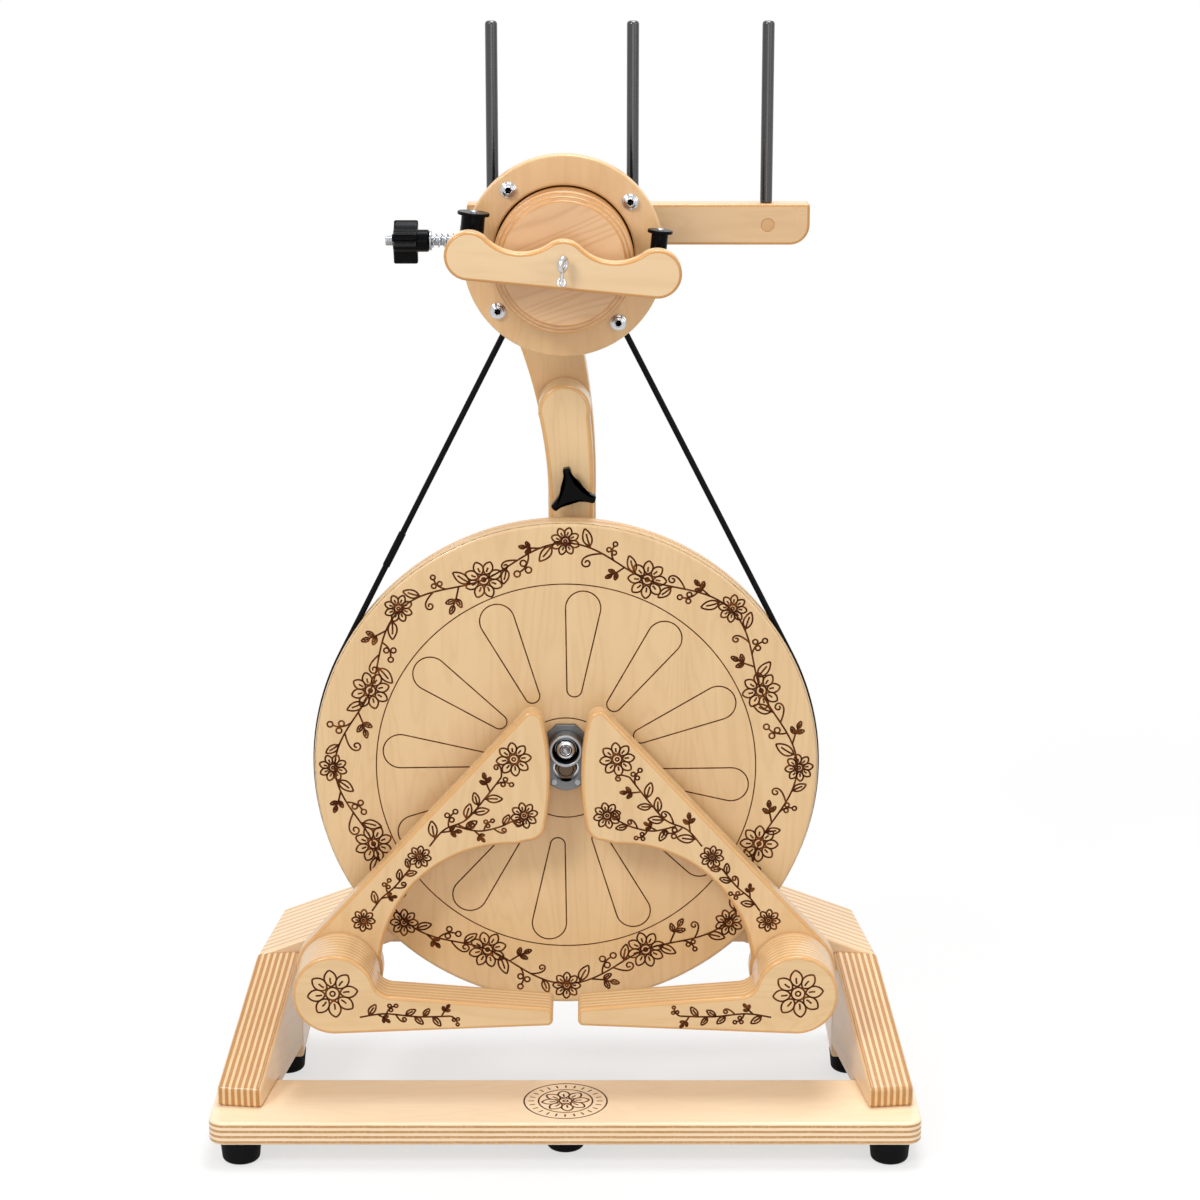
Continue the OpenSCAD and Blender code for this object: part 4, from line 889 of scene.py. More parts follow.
class Trees:
    """The geometry trees, each built once."""

    flat_inputs = {
        "Line Width": ("Float", 1.0 * MM),
        "Centre": ("Vector", ORIGIN),
        "Turn": ("Vector", UPRIGHT),
        "Material": ("Material", None),
    }
    leaf_lean: Point2 = (0.55, 0.95)
    leaf_sizes: Point2 = (0.75, 1.12)
    vine_round = 7.0
    petals = 8
    strands = 3

    def __init__(self) -> None:
        """Builds every tree."""
        self.lines = self._lines()
        self.vine = self._vine()
        self.rosettes = self._rosettes()
        self.ring = self._ring()
        self.coil = self._coil()
        self.cord = self._cord()
        self.rope = self._rope()

    def _lines(self) -> GeometryGraph:
        """Outlines repeated round a centre.

        Returns:
            The tree.
        """
        inputs = {"Copies": ("Int", 1), "First Angle": ("Float", 0.0), **self.flat_inputs}
        graph = GeometryGraph("radial_outlines", inputs)
        count, first = graph.given("Copies"), graph.given("First Angle")
        return graph.finish_flat(graph.copies(graph.path(), count, first))

    def _vine(self) -> GeometryGraph:
        """Leaves, sprigs, berries and curls set by turns along a stem, with gaps for flowers.

        Returns:
            The tree.
        """
        inputs = {
            "Places": ("Int", 12),
            "Gap Every": ("Int", 100),
            "Leaf Length": ("Float", 12 * MM),
            **self.flat_inputs,
        }
        graph = GeometryGraph("leafy_vine", inputs)
        stem = graph.path()
        sockets = {"Curve": stem, "Count": graph.given("Places")}
        along = graph.node("GeometryNodeCurveToPoints", {"mode": "COUNT"}, sockets)
        points, tangent = (Wire(graph, along.outputs[name]) for name in ("Points", "Tangent"))
        heading = graph.node("ShaderNodeSeparateXYZ", None, {0: tangent})
        across, up = (Wire(graph, heading.outputs[i]) for i in (0, 1))
        index = graph.index()
        side = index % 2.0 * 2.0 - 1.0
        lean = side * graph.random(*self.leaf_lean, Seed.LEAF_LEAN)
        turn = graph.combine(0.0, 0.0, graph.math("ARCTAN2", up, across) + lean)
        size = graph.given("Leaf Length") * graph.random(*self.leaf_sizes, Seed.LEAF_SIZE)
        room = self._room(graph, index)
        kind = index % self.vine_round
        sprig, berries, curl = (graph.math("COMPARE", kind, motif.value) for motif in Motif)
        leaf = self._leaf(graph)
        forms = (
            (1.0 - sprig - berries - curl, leaf),
            (sprig, self._sprig(graph, leaf)),
            (berries, self._berries(graph)),
            (curl, self._curl(graph)),
        )
        grown = [graph.placed(form, points, turn, size, room * share) for share, form in forms]
        return graph.finish_flat(graph.join(stem, *grown))

    @staticmethod
    def _room(graph: GeometryGraph, index: Wire) -> Wire:
        """Tells which places of a vine have room for a leaf.

        Args:
            graph: The tree to add to.
            index: The number of the place.

        Returns:
            One, or zero at each gap and just before it.
        """
        gap = graph.given("Gap Every")
        phase = index % gap
        after = graph.math("GREATER_THAN", phase, 0.5)
        return after * graph.math("LESS_THAN", phase, gap - 1.5)

    @staticmethod
    def _leaf(graph: GeometryGraph) -> Wire:
        """Draws a leaf of unit length with its midrib.

        Args:
            graph: The tree to add to.

        Returns:
            The outline.
        """
        root, tip = (0.12, 0.0), (1.0, 0.0)
        upper = graph.bezier(root, (0.3, 0.36), (0.72, 0.26), tip)
        lower = graph.bezier(root, (0.34, -0.3), (0.76, -0.22), tip)
        rib = graph.bezier((0.0, 0.0), (0.3, 0.03), (0.5, 0.03), (0.74, 0.0))
        return graph.join(upper, lower, rib)

    @staticmethod
    def _sprig(graph: GeometryGraph, leaf: Wire) -> Wire:
        """Draws a stalk of about unit length with three small leaves.

        Args:
            graph: The tree to add to.
            leaf: A leaf of unit length.

        Returns:
            The outline.
        """
        stalk = graph.bezier((0.0, 0.0), (0.3, 0.06), (0.5, 0.14), (0.8, 0.14))
        places = ((0.78, 0.14, 0.1), (0.5, 0.12, 0.95), (0.56, 0.12, -0.75))
        small = (0.46, 0.46, 0.46)
        leaves = [
            graph.moved(leaf, (x, y, 0.0), (0.0, 0.0, turn), small) for x, y, turn in places
        ]
        return graph.join(stalk, *leaves)

    @staticmethod
    def _curl(graph: GeometryGraph) -> Wire:
        """Draws a tendril of about unit length that winds in on itself.

        Args:
            graph: The tree to add to.

        Returns:
            The line.
        """
        bend, top = (0.92, 0.32), (0.58, 0.34)
        reach = graph.bezier((0.0, 0.0), (0.4, -0.04), (0.9, 0.0), bend)
        turn = graph.bezier(bend, (0.92, 0.56), (0.56, 0.56), top)
        end = graph.bezier(top, (0.6, 0.2), (0.78, 0.22), (0.77, 0.34))
        return graph.join(reach, turn, end)

    @staticmethod
    def _berries(graph: GeometryGraph) -> Wire:
        """Draws a curled stalk of unit length with three berries.

        Args:
            graph: The tree to add to.

        Returns:
            The outline.
        """
        stalk = graph.bezier((0.0, 0.0), (0.3, 0.16), (0.7, 0.1), (0.86, -0.08))
        berry = graph.circle(0.13, 14)
        places = ((0.98, -0.15, 0.0), (0.66, 0.24, 0.0), (0.46, -0.06, 0.0))
        return graph.join(stalk, *[graph.moved(berry, at) for at in places])

    def _rosettes(self) -> GeometryGraph:
        """Flowers of eight pointed petals at the points of a mesh.

        Returns:
            The tree.
        """
        graph = GeometryGraph("rosettes", dict(self.flat_inputs))
        root, tip = (0.3, 0.0), (1.0, 0.0)
        petal = graph.join(
            graph.bezier(root, (0.42, 0.3), (0.82, 0.34), tip),
            graph.bezier(root, (0.42, -0.3), (0.82, -0.34), tip),
            graph.bezier((0.42, 0.0), (0.5, 0.02), (0.58, 0.02), (0.68, 0.0)),
        )
        eye, seed = graph.circle(0.27, 20), graph.circle(0.1, 12)
        flower = graph.realized(graph.join(graph.copies(petal, self.petals, 0.2), eye, seed))
        turn = graph.combine(0.0, 0.0, graph.random(0.0, math.tau, Seed.FLOWER_TURN))
        places = graph.given("Geometry")
        return graph.finish_flat(graph.placed(flower, places, turn, graph.attribute("size")))

    def _ring(self) -> GeometryGraph:
        """Solid pieces repeated round a centre, on an upright face.

        Returns:
            The tree.
        """
        inputs = {
            "Copies": ("Int", 4),
            "First Angle": ("Float", 0.0),
            "Centre": ("Vector", ORIGIN),
            "Material": ("Material", None),
            # The darker material that paints shade into the sockets
            "Recess": ("Material", None),
        }
        graph = GeometryGraph("radial_solids", inputs)
        piece, count, first = (graph.given(n) for n in ("Geometry", "Copies", "First Angle"))
        solid = graph.realized(graph.copies(piece, count, first))
        upright = graph.moved(solid, graph.given("Centre"), UPRIGHT)
        return graph.finish(upright, graph.attribute("recess"))

    def _coil(self) -> GeometryGraph:
        """A wire wound along X, for a spring or a screw thread.

        Returns:
            The tree.
        """
        inputs = {
            "Turns": ("Float", 5.0),
            "Radius": ("Float", 5 * MM),
            "Length": ("Float", 20 * MM),
            "Wire": ("Float", 0.5 * MM),
            "Start": ("Vector", ORIGIN),
            "Material": ("Material", None),
        }
        graph = GeometryGraph("coil", inputs)
        sockets = {
            "Resolution": 28,
            "Rotations": graph.given("Turns"),
            "Start Radius": graph.given("Radius"),
            "End Radius": graph.given("Radius"),
            "Height": graph.given("Length"),
        }
        helix = graph.wire("GeometryNodeCurveSpiral", 0, None, sockets)
        wound = graph.tube(helix, graph.circle(graph.given("Wire"), 10))
        along_x = (0.0, math.pi / 2, 0.0)
        return graph.finish(graph.moved(wound, graph.given("Start"), along_x))

    def _cord(self) -> GeometryGraph:
        """A round cord along the edges of a mesh.

        Returns:
            The tree.
        """
        inputs = {"Radius": ("Float", 2 * MM), "Material": ("Material", None)}
        graph = GeometryGraph("round_cord", inputs)
        return graph.finish(graph.tube(graph.path(), graph.circle(graph.given("Radius"), 14)))

    def _rope(self) -> GeometryGraph:
        """Three strands laid round each other along the edges of a mesh.

        Returns:
            The tree.
        """
        inputs = {
            "Radius": ("Float", 1 * MM),
            "Lay": ("Float", 4 * MM),
            "Material": ("Material", None),
        }
        graph = GeometryGraph("twisted_cord", inputs)
        radius = graph.given("Radius")
        sockets = {"Curve": graph.path(), "Length": 0.5 * MM}
        even = graph.wire("GeometryNodeResampleCurve", 0, {"mode": "LENGTH"}, sockets)
        length = graph.wire("GeometryNodeSplineParameter", "Length")
        sockets = {"Curve": even, "Tilt": length * math.tau / graph.given("Lay")}
        turned = graph.wire("GeometryNodeSetCurveTilt", 0, None, sockets)
        aside = graph.combine(radius * 0.48, 0.0, 0.0)
        strand = graph.moved(graph.circle(radius * 0.5, 8), aside)
        strands = graph.realized(graph.copies(strand, self.strands, 0.0))
        return graph.finish(graph.tube(turned, strands))


class Sketch:
    """Points and lines that a geometry tree starts from."""

    def __init__(self) -> None:
        """Starts empty."""
        self.points: list[Point3] = []
        self.edges: list[tuple[int, int]] = []

    def line(self, points: Iterable[Sequence[float]], closed: bool = False) -> "Sketch":
        """Adds a line.

        Args:
            points: Points of two or three numbers.
            closed: Whether the last point joins the first.

        Returns:
            The sketch itself.
        """
        first = len(self.points)
        self.points += [(p[0], p[1], p[2] if len(p) > 2 else 0.0) for p in points]
        last = len(self.points) - 1
        self.edges += [(i, i + 1) for i in range(first, last)]
        if closed:
            self.edges.append((last, first))
        return self

    def ring(self, radius: float, sides: int) -> "Sketch":
        """Adds a circle round the centre."""
        arc = self.arc((0.0, 0.0), radius, 0, 360 - 360 / sides, sides - 1)
        return self.line(arc, closed=True)

    def mesh(self, name: str) -> bpy.types.Mesh:
        """Makes a mesh of edges.

        Args:
            name: Name of the mesh.

        Returns:
            The mesh.
        """
        made = bpy.data.meshes.new(name)
        made.from_pydata(self.points, self.edges, [])
        return made

    @staticmethod
    def arc(
        centre: Point2, radius: float, start: float, stop: float, steps: int
    ) -> list[Point2]:
        """Gives points on an arc.

        Args:
            centre: Centre of the arc.
            radius: Its radius.
            start: First angle, in degrees.
            stop: Last angle, in degrees.
            steps: How many stretches there are.

        Returns:
            The points, both ends among them.
        """
        turns = (math.radians(start + (stop - start) * i / steps) for i in range(steps + 1))
        rays = (polar(radius, turn) for turn in turns)
        return [(centre[0] + x, centre[1] + y) for x, y in rays]

    @classmethod
    def flowing(cls, points: Sequence[Point2], steps: int = 10) -> list[Point2]:
        """Gives a smooth line through a few points.

        Args:
            points: Points to go through.
            steps: How many stretches there are from one point to the next.

        Returns:
            The points of the line.
        """
        ends = [points[0], *points, points[-1]]
        path: list[Point2] = []
        for four in zip(ends, ends[1:], ends[2:], ends[3:]):
            across, up = zip(*four)
            for i in range(steps):
                path.append((cls._between(*across, i / steps), cls._between(*up, i / steps)))
        return [*path, points[-1]]

    @staticmethod
    def _between(a: float, b: float, c: float, d: float, t: float) -> float:
        """A value between b and c on the smooth course through four values."""
        square, cube = 2 * a - 5 * b + 4 * c - d, 3 * b - a - 3 * c + d
        return 0.5 * (2 * b + (c - a) * t + square * t * t + cube * t**3)


@dataclass(frozen=True)
class Rounding:
    """How the edges of a copied solid are softened.

    Edges that meet at more than the angle, in degrees, are rounded. Joined edges shorter
    than a long loop, such as the rims of holes, get only the small share of the width.
    """

    width: float
    segments: int = 4
    angle: float = 28.0
    long_loop: float = 70 * MM
    small_share: float = 0.2
    merge: float = 0.02 * MM

    @classmethod
    def fine(cls, width: float, segments: int) -> "Rounding":
        """Softens every rim alike, as on a small or a turned piece."""
        return cls(width, segments, long_loop=0.0)


class ShapedCopy:
    """A merged copy of one solid of the frame, with softened edges."""

    flat = math.radians(0.8)
    smooth = math.radians(32)
    slack = 0.02 * MM

    def __init__(self, node: str, rounding: Rounding) -> None:
        """Takes the node to copy and how to soften it."""
        self.node = node
        self.rounding = rounding

    def build(
        self, finish: bpy.types.Material, edge: bpy.types.Material | None
    ) -> bpy.types.Object:
        """Makes the copy.

        Args:
            finish: Material of the piece.
            edge: Material of the softened edges, or none for the same one.

        Returns:
            The new object, at the origin.
        """
        bm = bmesh.new()
        bm.from_mesh(frame["nodes"][self.node].data)
        solid = BVHTree.FromBMesh(bm)
        bmesh.ops.remove_doubles(bm, verts=bm.verts[:], dist=self.rounding.merge)
        bmesh.ops.dissolve_limit(
            bm, angle_limit=self.flat, verts=bm.verts[:], edges=bm.edges[:]
        )
        self._weigh(bm)
        mesh = bpy.data.meshes.new(self.node + "_shaped")
        bm.to_mesh(mesh)
        bm.free()
        self._clean(mesh, finish)
        made = bpy.data.objects.new(self.node + "_shaped", mesh)
        bpy.context.scene.collection.objects.link(made)
        self._soften(made, edge)
        self._trim(made, solid)
        return made

    def _weigh(self, bm: bmesh.types.BMesh) -> None:
        """Marks the outer sharp edges, with little weight on the rims of small holes.

        Args:
            bm: The merged copy.
        """
        weight = bm.edges.layers.float.new("bevel_weight_edge")
        limit = math.radians(self.rounding.angle)
        bm.normal_update()
        sharp = {e for e in bm.edges if e.is_convex and e.calc_face_angle(0.0) > limit}
        while sharp:
            reached, loop = [sharp.pop()], []
            while reached:
                edge = reached.pop()
                loop.append(edge)
                near = {e for v in edge.verts for e in v.link_edges} & sharp
                sharp -= near
                reached += near
            whole = sum(e.calc_length() for e in loop) >= self.rounding.long_loop
            for edge in loop:
                edge[weight] = 1.0 if whole else self.rounding.small_share

    def _clean(self, mesh: bpy.types.Mesh, finish: bpy.types.Material) -> None:
        """Drops what the frame left on a mesh and gives it one smooth finish.

        Args:
            mesh: The copy.
            finish: Material of the piece.
        """
        for name in [a.name for a in mesh.attributes if a.name == "custom_normal"]:
            mesh.attributes.remove(mesh.attributes[name])
        for layer in list(mesh.uv_layers):
            mesh.uv_layers.remove(layer)
        mesh.materials.clear()
        mesh.materials.append(finish)
        mesh.polygons.foreach_set("material_index", [0] * len(mesh.polygons))
        mesh.polygons.foreach_set("use_smooth", [True] * len(mesh.polygons))
        mesh.set_sharp_from_angle(angle=self.smooth)

    def _soften(self, made: bpy.types.Object, edge: bpy.types.Material | None) -> None:
        """Adds the modifier that rounds the marked edges.

        Args:
            made: The copy.
            edge: Material of the softened edges, if it is another one.
        """
        bevel = made.modifiers.new("soften", "BEVEL")
        bevel.limit_method = "WEIGHT"
        bevel.width = self.rounding.width
        bevel.segments = self.rounding.segments
        bevel.use_clamp_overlap = False
        bevel.loop_slide = False
        bevel.harden_normals = True
        if edge:
            made.data.materials.append(edge)
            bevel.material = 1

    def _trim(self, made: bpy.types.Object, solid: BVHTree) -> None:
        """Fixes the soft edges in the mesh and draws back what they push out of the solid.

        Args:
            made: The copy, with its modifier.
            solid: The frame's own solid.
        """
        depsgraph = bpy.context.evaluated_depsgraph_get()
        shown = made.evaluated_get(depsgraph)
        mesh = bpy.data.meshes.new_from_object(shown, depsgraph=depsgraph)
        made.modifiers.clear()
        rough = made.data
        made.data = mesh
        mesh.name = rough.name
        bpy.data.meshes.remove(rough)
        for vert in mesh.vertices:
            near, normal, _, gap = solid.find_nearest(vert.co)
            if gap > self.slack and (vert.co - near).dot(normal) > 0.0:
                vert.co = near


@dataclass(frozen=True)
class Turned:
    """A piece turned about Z from rows of radius, height and whether six-sided."""

    sides: ClassVar[int] = 48
    sixth: ClassVar[float] = math.pi / 3

    def profile(self) -> list[tuple[float, float, bool]]:
        """The rows, from the inside to the foot."""
        raise NotImplementedError

    def faces(self, rows: int) -> list[tuple[int, ...]]:
        """Lists the faces between the rows, with both ends closed.

        Args:
            rows: How many rows there are.

        Returns:
            The numbers of each face's points.
        """
        count = self.sides
        top = tuple(range(count))
        foot = tuple(range(rows * count - 1, (rows - 1) * count - 1, -1))
        return [*self.bands(range(rows)), top, foot]

    def bands(self, rows: Sequence[int]) -> list[tuple[int, ...]]:
        """Lists the faces between each row and the next one.

        Args:
            rows: Numbers of the rows, in order.

        Returns:
            The numbers of each face's points.
        """
        count = self.sides
        made: list[tuple[int, ...]] = []
        for a, b in zip(rows, rows[1:]):
            for i in range(count):
                j = (i + 1) % count
                made.append((a * count + i, b * count + i, b * count + j, a * count + j))
        return made

    def mesh(self, name: str, at: Point2 = (0.0, 0.0)) -> bpy.types.Mesh:
        """Makes the piece as a closed mesh whose six-sided faces are marked as a recess, which takes a
        darker material as painted shade.

        Args:
            name: Name of the mesh.
            at: Where it stands in the XY plane.

        Returns:
            The mesh.
        """
        verts: list[Point3] = []
        profile = self.profile()
        for radius, height, hexagon in profile:
            for i in range(self.sides):
                turn = math.tau * i / self.sides
                x, y = polar(self._hexagon(radius, turn) if hexagon else radius, turn)
                verts.append((at[0] + x, at[1] + y, height))
        faces = self.faces(len(profile))
        made = bpy.data.meshes.new(name)
        made.from_pydata(verts, [], faces)
        deep = {
            i * self.sides + k
            for i, (_, _, hexagon) in enumerate(profile)
            for k in range(self.sides)
            if hexagon
        }
        recess = made.attributes.new("recess", "FLOAT", "FACE")
        recess.data.foreach_set("value", [float(deep.issuperset(face)) for face in faces])
        return made

    def _hexagon(self, radius: float, turn: float) -> float:
        """How far a hexagon reaches at an angle; the radius is that of its corners."""
        half = self.sixth / 2
        return radius / math.cos((turn + half) % self.sixth - half) * math.cos(half)


@dataclass(frozen=True)
class ScrewHead(Turned):
    """A domed screw head with a six-sided socket, facing +Z, and its washer or shank."""

    radius: float
    height: float
    socket: float
    depth: float
    washer: float = 0.0
    washer_height: float = 0.0
    shank: tuple[Point2, ...] = ()

    dome_angles: ClassVar[tuple[int, ...]] = (60, 48, 34, 20, 8, 0)
    socket_lip: ClassVar[float] = 0.3 * MM
    washer_rim: ClassVar[float] = 0.25 * MM

    def profile(self) -> list[tuple[float, float, bool]]:
        """Lists the rows, from the socket's floor to the foot.

        Returns:
            Radius, height and whether six-sided.
        """
        rows = [
            (self.socket * 0.96, self.height - self.depth, True),
            (self.socket, self.height - self.socket_lip, True),
            (self.socket * 1.12, self.height, False),
            *[self._dome(math.radians(angle)) for angle in self.dome_angles],
            (self.radius, self.washer_height, False),
        ]
        if self.washer:
            rows += [
                (self.washer - self.washer_rim, self.washer_height, False),
                (self.washer, self.washer_height - self.washer_rim, False),
                (self.washer, 0.0, False),
            ]
        return [*rows, *[(radius, height, False) for radius, height in self.shank]]

    def _dome(self, angle: float) -> tuple[float, float, bool]:
        """Gives one row of the dome.

        Args:
            angle: Angle above the dome's rim, in radians.

        Returns:
            Radius, height and whether six-sided.
        """
        low = self.washer_height + 0.6 * (self.height - self.washer_height)
        rise = low + (self.height - low) * math.sin(angle) ** 0.8
        return (self.radius * math.cos(angle), rise, False)


@dataclass(frozen=True)
class LippedRing(Turned):
    """A ring with an L-shaped section: a flat floor and a wall round it, open to +Z."""

    inner: float
    outer: float
    height: float
    skin: float

    def profile(self) -> list[tuple[float, float, bool]]:
        """Lists the rows, once round the section.

        Returns:
            Radius, height and whether six-sided.
        """
        wall = self.outer - self.skin
        rows = (
            (self.inner, self.skin),
            (wall, self.skin),
            (wall, self.height),
            (self.outer, self.height),
            (self.outer, 0.0),
            (self.inner, 0.0),
        )
        return [(radius, height, False) for radius, height in rows]

    def faces(self, rows: int) -> list[tuple[int, ...]]:
        """Faces between the rows and back to the first one."""
        return self.bands([*range(rows), 0])


@dataclass(frozen=True)
class SubAssembly:
    """Shared ways to dress the pieces of one sub-assembly."""

    palette: Palette
    trees: Trees
    stroke: float = 1.5 * MM

    def dress(self) -> None:
        """Builds and dresses every piece."""
        raise NotImplementedError

    @staticmethod
    def label(made: bpy.types.Object, slot: str, *nodes: str) -> None:
        """Hides the nodes that a piece stands for and logs its face count.

        Args:
            made: The piece.
            slot: Its slot; not used.
            nodes: The nodes that it replaces, if any.
        """
        if nodes:
            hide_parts(*nodes)
        log.info("%s: %d faces", made.name, len(made.data.polygons))

    def settle(self, made: bpy.types.Object, body: str, slot: str, *nodes: str) -> None:
        """Lets a piece ride on a body and stand for nodes."""
        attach(made, body)
        self.label(made, slot, *nodes)

    def shape(
        self, finish: Finish, rounding: Rounding, *nodes: str, edge: Finish | None = None
    ) -> None:
        """Replaces nodes by softened copies.

        Args:
            finish: Finish of the pieces.
            rounding: How their edges are softened.
            nodes: The nodes.
            edge: Finish of the softened edges, if it is another one.
        """
        for node in nodes:
            copy = ShapedCopy(node, rounding)
            made = copy.build(self.palette[finish], self.palette[edge] if edge else None)
            self.settle(made, BODY_OF[node], SLOT_OF[node], node)

    def turned(
        self,
        name: str,
        seed: bpy.types.Mesh,
        centre: Point3,
        finishes: tuple[Finish, Finish],
        copies: int = 1,
        first: float = 0.0,
    ) -> bpy.types.Object:
        """Sets copies of a turned piece round a centre on an upright face.

        Args:
            name: Name of the piece.
            seed: Mesh of one copy, facing +Z.
            centre: Where the centre lies.
            finishes: Finish of the piece, and the darker one that paints shade into its recess.
            copies: How many there are.
            first: Angle of the first one.

        Returns:
            The new object.
        """
        finish, recess = finishes
        values = {
            "Copies": copies,
            "First Angle": first,
            "Centre": centre,
            "Material": self.palette[finish],
            "Recess": self.palette[recess],
        }
        return self.trees.ring.grow(name, seed, values)

    def burn(
        self, tree: GeometryGraph, name: str, body: str, seed: bpy.types.Mesh, values: Settings
    ) -> None:
        """Burns flat lines into a plywood face.

        Args:
            tree: The tree that draws them.
            name: Name of the piece.
            body: The body that it rides on.
            seed: The mesh that the tree starts from.
            values: Values of the tree's inputs, apart from the material.
        """
        ink = self.palette[Palette.ink]
        self.settle(tree.grow(name, seed, {**values, "Material": ink}), body, "birch_ply")

    def lines(
        self,
        name: str,
        body: str,
        sketch: Sketch,
        width: float,
        centre: Point3,
        turn: Point3 = UPRIGHT,
        copies: int = 1,
        first: float = 0.0,
    ) -> None:
        """Burns outlines, repeated round a centre.

        Args:
            name: Name of the piece.
            body: The body that it rides on.
            sketch: The outlines.
            width: Width of the lines.
            centre: Where their centre lies.
            turn: How the face is turned.
            copies: How many times the outlines are drawn.
            first: Angle of the first ones.
        """
        values = {
            "Copies": copies,
            "First Angle": first,
            "Line Width": width,
            "Centre": centre,
            "Turn": turn,
        }
        self.burn(self.trees.lines, name, body, sketch.mesh(name), values)

    def vine(
        self,
        name: str,
        body: str,
        stem: Sketch,
        centre: Point3,
        leaf: float,
        places: int,
        gap: int = 100,
    ) -> None:
        """Burns a leafy vine on an upright face.

        Args:
            name: Name of the piece.
            body: The body that it rides on.
            stem: The line that it follows.
            centre: Where the stem's centre lies.
            leaf: Length of a leaf.
            places: How many places for leaves the stem has.
            gap: After how many places one is left for a flower.
        """
        values = {
            "Places": places,
            "Gap Every": gap,
            "Leaf Length": leaf,
            "Line Width": self.stroke,
            "Centre": centre,
        }
        self.burn(self.trees.vine, name, body, stem.mesh(name), values)

    def rosettes(
        self,
        name: str,
        body: str,
        places: Sequence[Point3],
        centre: Point3,
        turn: Point3 = UPRIGHT,
    ) -> None:
        """Burns flowers on a face.

        Args:
            name: Name of the piece.
            body: The body that it rides on.
            places: Two coordinates and a radius for each flower.
            centre: Where the centre of the coordinates lies.
            turn: How the face is turned.
        """
        seed = bpy.data.meshes.new(name)
        seed.from_pydata([(x, z, 0.0) for x, z, _ in places], [], [])
        sizes = seed.attributes.new("size", "FLOAT", "POINT")
        sizes.data.foreach_set("value", [radius for _, _, radius in places])
        values = {"Line Width": self.stroke, "Centre": centre, "Turn": turn}
        self.burn(self.trees.rosettes, name, body, seed, values)


@dataclass(frozen=True)
class Base(SubAssembly):
    """Front board, side arms, bridge, post, feet and the clamp's knob."""

    board_edge: Rounding = Rounding(2.4 * MM, 5)
    arm_edge: Rounding = Rounding(3.2 * MM, 5)
    bridge_edge: Rounding = Rounding(2.6 * MM, 4, merge=0.3 * MM)
    post_edge: Rounding = Rounding(3.4 * MM, 5, merge=0.5 * MM)
    foot_edge: Rounding = Rounding(1.6 * MM, 4)
    bolt_edge: Rounding = Rounding.fine(0.5 * MM, 2)
    axle_edge: Rounding = Rounding.fine(0.5 * MM, 3)
    bush_edge: Rounding = Rounding.fine(0.3 * MM, 2)
    knob_edge: Rounding = Rounding.fine(1.8 * MM, 5)
    board_layers: int = 4
    arm_layers: int = 7
    bridge_layers: int = 10
    arm_thick: float = 36 * MM
    arm_toe: Point2 = (18.5 * MM, 139.0 * MM)
    arm_corner: Point2 = (257.5 * MM, 37.5 * MM)
    emblem_circles: Point2 = (33 * MM, 21.5 * MM)
    emblem_sides: int = 90
    emblem_dash: Point2 = (25 * MM, 29.5 * MM)
    emblem_step: int = 15
    emblem_line: float = 1.3 * MM
    emblem_flower: float = 19 * MM

    def dress(self) -> None:
        """Builds and dresses every piece."""
        self._board()
        for side in Side:
            self._side_arm(side)
        self._bridge()
        self.shape(Palette.maple_up, self.post_edge, "post", edge=Palette.ply_edge)
        self.shape(Palette.rubber, self.foot_edge, "rubber_feet")
        bolts = ("foot_screws", "base_bolts", "post_bolts", "clamp_plate")
        self.shape(Palette.steel, self.bolt_edge, *bolts)
        self.shape(Palette.steel, self.axle_edge, "axle_spacer")
        self.shape(Palette.dark_bronze, self.axle_edge, "wheel_axle", "axle_nut")
        self.shape(Palette.bronze, self.bush_edge, "pivot_bushes")
        self.shape(Palette.black, self.knob_edge, "post_knob")
        self._emblem()

    def _board(self) -> None:
        """Dresses the board across the front."""
        low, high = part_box("front_board")
        ply = Plywood.sheet(
            "board_ply",
            low.z,
            high.z - low.z,
            self.board_layers,
            grain=Axis.X,
            light=srgb(253, 228, 192),
            dark=srgb(240, 206, 162),
            stack=(0.0, 0.0, 1.0),
            edge_brown=srgb(192, 138, 80),
        )
        self.shape(ply, self.board_edge, "front_board")

    def _side_arm(self, side: Side) -> None:
        """Dresses one side arm, with its layers upright along the arm.

        Args:
            side: The arm's side.
        """
        node = side.named("side_arm")
        toe_in = math.atan2(*self.arm_toe)
        out, back = self.arm_corner
        outer = out * math.cos(toe_in) + back * math.sin(toe_in)
        ply = Plywood.sheet(
            node + "_ply",
            outer - self.arm_thick,
            self.arm_thick,
            self.arm_layers,
            grain=Axis.Y,
            stack=(side.value * math.cos(toe_in), math.sin(toe_in), 0.0),
            light=srgb(231, 198, 153),
            dark=srgb(204, 163, 115),
            pale_share=0.4,
            edge_pale=srgb(204, 155, 96),
            edge_brown=srgb(177, 123, 62),
        )
        self.shape(ply, self.arm_edge, node)

    def _bridge(self) -> None:
        """Dresses the gabled beam at the back."""
        low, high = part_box("rear_bridge")
        ply = Plywood.sheet(
            "bridge_ply",
            low.y,
            high.y - low.y,
            self.bridge_layers,
            grain=Axis.X,
            light=srgb(242, 209, 168),
            dark=srgb(224, 184, 136),
            pale_share=0.62,
            edge_brown=srgb(206, 160, 110),
        )
        self.shape(ply, self.bridge_edge, "rear_bridge")

    def _emblem(self) -> None:
        """Burns a plain rosette in circles, with a ring of dashes, into the board's top."""
        low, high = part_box("front_board")
        centre = (0.0, (low.y + high.y) / 2, high.z)
        sketch = Sketch()
        for radius in self.emblem_circles:
            sketch.ring(radius, self.emblem_sides)
        for turn in range(0, 360, self.emblem_step):
            sketch.line([polar(radius, math.radians(turn)) for radius in self.emblem_dash])
        self.lines("board_circles", "base", sketch, self.emblem_line, centre, LYING)
        flower = (0.0, 0.0, self.emblem_flower)
        self.rosettes("board_rosette", "base", [flower], centre, LYING)


